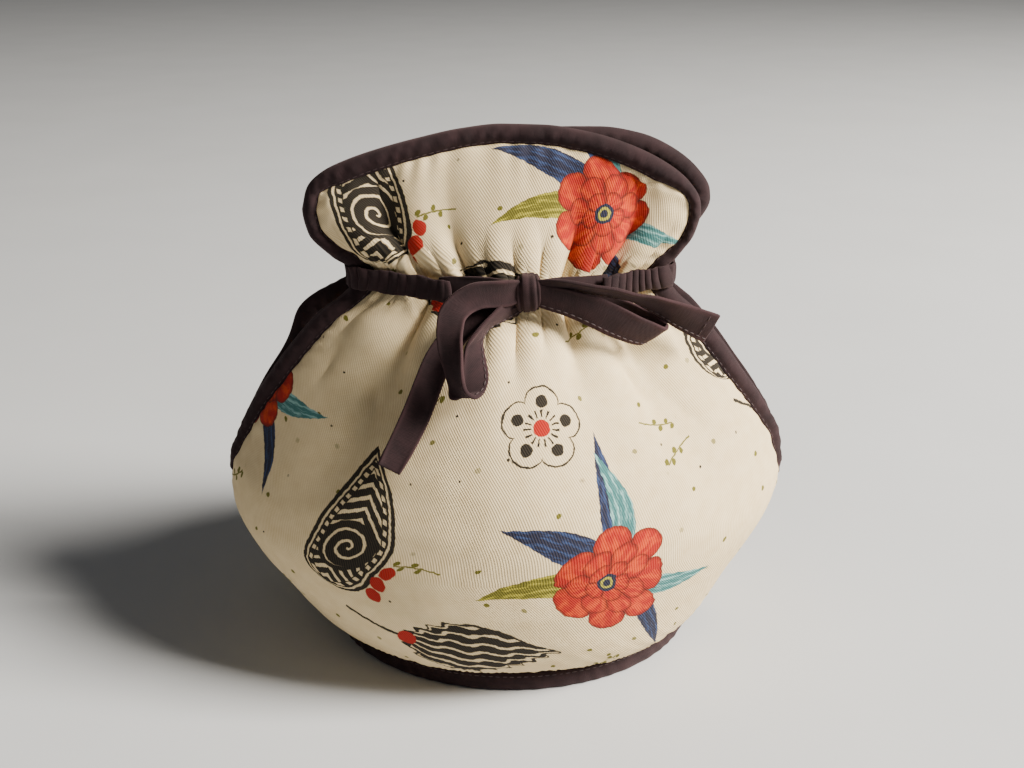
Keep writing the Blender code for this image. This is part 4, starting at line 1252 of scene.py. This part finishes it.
def seed_head(cream, u, v):
    x, y = (place / BLACK_MOTIF_SCALE for place in repeated(u, v, -14, 24, -18))
    x = x + 24.0
    fringe = (y * 1.7 + x * 0.25).cosine()
    depth, t, side = leaf(x + fringe * 1.5, y, 52.0, 27.0, 10.0)
    spread = side / (t * (1 - t) * 34.0 + 2.0)
    lines = (spread * 15.0 + (x * 0.55).cosine() * 0.9).cosine() - 0.62
    lines = lines.least(depth - 0.9).least(x - 5.0)
    stalk = line_at(y - x * x * 0.006, 0.0, 0.6).least(x * -1 + 3.0).least(x + 20.0)
    return [(depth, BLACK), (lines, cream), (stalk, BLACK), (3.3 - (x - 3.0).length_with(y), SCARLET)]


def outlined_flower(cream, u, v):
    radius, angle = polar(*repeated(u, v, 14, 122, 15))
    inside = (abs((angle * 2.5).cosine()).power(0.6) * 0.30 + 0.70) * 17.0 - radius
    turn = (angle * (5 / math.tau) + 0.5).maths("FRACT") - 0.5
    spots = 2.5 - (radius - 10.6).length_with(turn * radius * (math.tau / 5))
    rays = ((angle * 15.0).cosine() - 0.55).least(radius - 4.2).least(7.4 - radius)
    drawn = [(line, BLACK) for line in (line_at(inside, 0.4, 0.42), spots, rays)]
    return [(inside, cream)] + drawn + [(3.4 - radius, SCARLET)]


print("black motifs: paisley, seed head, outlined flower")

# %% [markdown]
# Small olive sprigs fill the ground between them, with berries on alternate sides of a thin stem, and dots of
# olive and black are scattered evenly. A Voronoi texture scatters them: it gives each place its distance from
# the nearest of many points, and a colour of its own to each point, which says what is printed there.

# %% Sprigs and dots
Sprig = namedtuple("Sprig", "across up turn")
SPRIGS = [
    Sprig(-44, 128, 28),
    Sprig(84, 112, -160),
    Sprig(28, 6, 12),
    Sprig(-20, 66, 160),
    Sprig(58, 122, -20),
]
BERRY_STEP, SPRIG_LENGTH = 3.4, 19.0
DOT_SPACING = 21.0


def sprigs(u, v):
    layers = []
    for sprig in SPRIGS:
        x, y = repeated(u, v, *sprig)
        y = y - x * x * 0.012
        step = (x / BERRY_STEP).whole()
        berry = 1.25 - (x - (step + 0.5) * BERRY_STEP).length_with(y - (step * math.pi).cosine() * 1.5)
        layers.append((line_at(y, 0.0, 0.34).least(x).least(SPRIG_LENGTH - x), OLIVE))
        layers.append((berry.least(x - 7.5).least(SPRIG_LENGTH + 2.0 - x), OLIVE))
    return layers


def dots(finish, u, v):
    inputs = {"Vector": finish.node("ShaderNodeCombineXYZ", [u, v, 0.0]), "Scale": 1 / DOT_SPACING}
    near = finish.node("ShaderNodeTexVoronoi", inputs, voronoi_dimensions="2D")
    distance = near * DOT_SPACING
    kind = finish.node("ShaderNodeSeparateColor", [near.output(1)])
    return [((1.05 - distance).least(kind - 0.45), OLIVE), ((0.55 - distance).least(0.30 - kind), BLACK)]


print(len(SPRIGS), "sprigs in each repeat")

# %% [markdown]
# The printed finish is all of this on the twill. The outlines are shifted by a little noise first, since ink
# spreads unevenly along the threads, and the ink lets a trace of the ribs through. The print changes the
# colour alone: ink has no height, so only the ribs reach the bump.

# %% The printed cloth
INK_WANDER, WANDER_SCALE = 1.1, 0.34
INK_ON_RIBS = 0.05

printed_twill, across, along, rib_height, cream = twill("printed_cream_twill")
u = across + (printed_twill.noise(across, along, WANDER_SCALE) - 0.5) * INK_WANDER
v = along + (printed_twill.noise(across + 50.0, along, WANDER_SCALE) - 0.5) * INK_WANDER
layers = sprigs(u, v) + dots(printed_twill, u, v)
for motif in (outlined_flower, seed_head, paisley):
    layers += motif(cream, u, v)
layers += bloom(printed_twill, u, v)
print_colour = inked(printed_twill, cream, layers)
# The cream let through in the grooves carries the painted groove shade.
printed_twill.coloured(printed_twill.colour((1 - rib_height) * INK_ON_RIBS, print_colour, cream))
print(len(layers), "layers of ink, nodes:", len(printed_twill.tree.nodes))

# %% [markdown]
# ## Putting the finishes on
# A panel has two materials: the printed one outside and plain twill inside. Solidify gives the second one to
# the faces it adds. The floor is matt and pale, with a very slight mottle so that it doesn't look empty.

# %% Finishes on the pieces
floor_finish, _ = mottled("pale_floor", 9.0, 3.0, rgb(0.49, 0.50, 0.51), rgb(0.54, 0.55, 0.56), Roughness=0.85)


def wears(piece, *finishes):
    for finish in finishes:
        piece.data.materials.append(finish.material)


for piece in panels.values():
    wears(piece, printed_twill, plain_twill)
for piece in (bindings[FRONT][0], bindings[BACK][0], hem, casing):
    wears(piece, plum_binding)
for piece in (knot, *(piece for piece, *_ in tapes.values())):
    wears(piece, plum_tape)
for name in STITCHING:
    wears(bpy.data.objects[name], thread_finish)
print(len(panels), "panels,", len(tapes), "stretches of tape and", len(STITCHING), "rows of stitches finished")

# %% [markdown]
# ## What each piece stands for
# Each piece rides on the cosy's only body and stands for the solid whose place it takes, which is hidden. The
# two panels are padded. The stretches of tape are flat cords: the runs and the loops go back into the bow, and
# the two ends are free.

# %% Attaching the pieces to the body
STANDS_FOR = {
    "padded_panel_front": ("panel_front", "printed_cotton"),
    "padded_panel_back": ("panel_back", "printed_cotton"),
    "edge_binding_front": ("binding_front", "plum_binding"),
    "edge_binding_back": ("binding_back", "plum_binding"),
    "hem_binding_cloth": ("hem_binding", "plum_binding"),
    "gathered_casing": ("neck_casing", "plum_binding"),
    "tie_knot": ("neck_tie", "plum_tie"),
    **{name: ("neck_tie", "plum_tie") for name in TAPES},
    **{name: (None, slot) for name, slot in STITCHING.items()},
}
for name, (node, slot) in STANDS_FOR.items():
    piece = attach(bpy.data.objects[name], "root")
    if node:
        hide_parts(node)

for name, (piece, points, facing_out, s) in tapes.items():
    middle = (points[:, TAPE_COLUMNS // 2] + (HEM_CENTRE_X, 0.0, 0.0)) * MM
    far_end = "bare" if "end" in name else "object"
    float(s[-1] * MM)
    "taut" if "run" in name else "hanging"
print(len(STANDS_FOR), "pieces ride on the cosy")

# %% [markdown]
# ## Floor and light
# The floor is one pale sheet. The main light is a large soft one, high at the front right, as in the
# photograph, so the left side of the cosy falls into shade and the folds at the neck show. A weaker one from
# the left and an even pale sky keep the dark cloth from turning black.

# %% The studio
FLOOR_SIZE = 12.0
Lamp = namedtuple("Lamp", "name x y z size power warmth")
LAMPS = [
    Lamp("key_light", 2.24, -0.52, 1.68, 1.00, 345.0, (1.0, 0.945, 0.86)),
    Lamp("fill_light", -1.10, -0.90, 0.70, 1.40, 0.6, (0.94, 0.97, 1.0)),
]
AIM = Vector((0.0, 0.0, 0.10))
SKY = {"Color": (0.96, 0.97, 1.0, 1.0), "Strength": 0.10}

floor_sizes = {"x_segments": 1, "y_segments": 1, "size": FLOOR_SIZE / 2}
floor_mesh = worked(bpy.data.meshes.new("floor"), lambda bm: bmesh.ops.create_grid(bm, **floor_sizes))
floor = placed("floor", floor_mesh)
wears(floor, floor_finish)
floor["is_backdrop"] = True

for lamp in LAMPS:
    light = bpy.data.lights.new(lamp.name, "AREA")
    light.energy, light.size, light.color = lamp.power, lamp.size, lamp.warmth
    holder = placed(lamp.name, light)
    holder.location = (lamp.x, lamp.y, lamp.z)
    holder.rotation_euler = (AIM - holder.location).to_track_quat("-Z", "Y").to_euler()

world = bpy.data.worlds.new("sky")
world.use_nodes = True
for socket, value in SKY.items():
    world.node_tree.nodes["Background"].inputs[socket].default_value = value
bpy.context.scene.world = world
print(len(LAMPS), "lamps and the sky")

# %% [markdown]
# ## Size and end
# The dressed cosy has to keep the size of its solids, so both boxes are printed at the end.

# %% Size
visual_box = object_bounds()
for label, box in (("solids", cad_box), ("dressed", visual_box)):
    print(label, "x".join(f"{side * 1000:.1f}" for side in box[1] - box[0]), "mm")
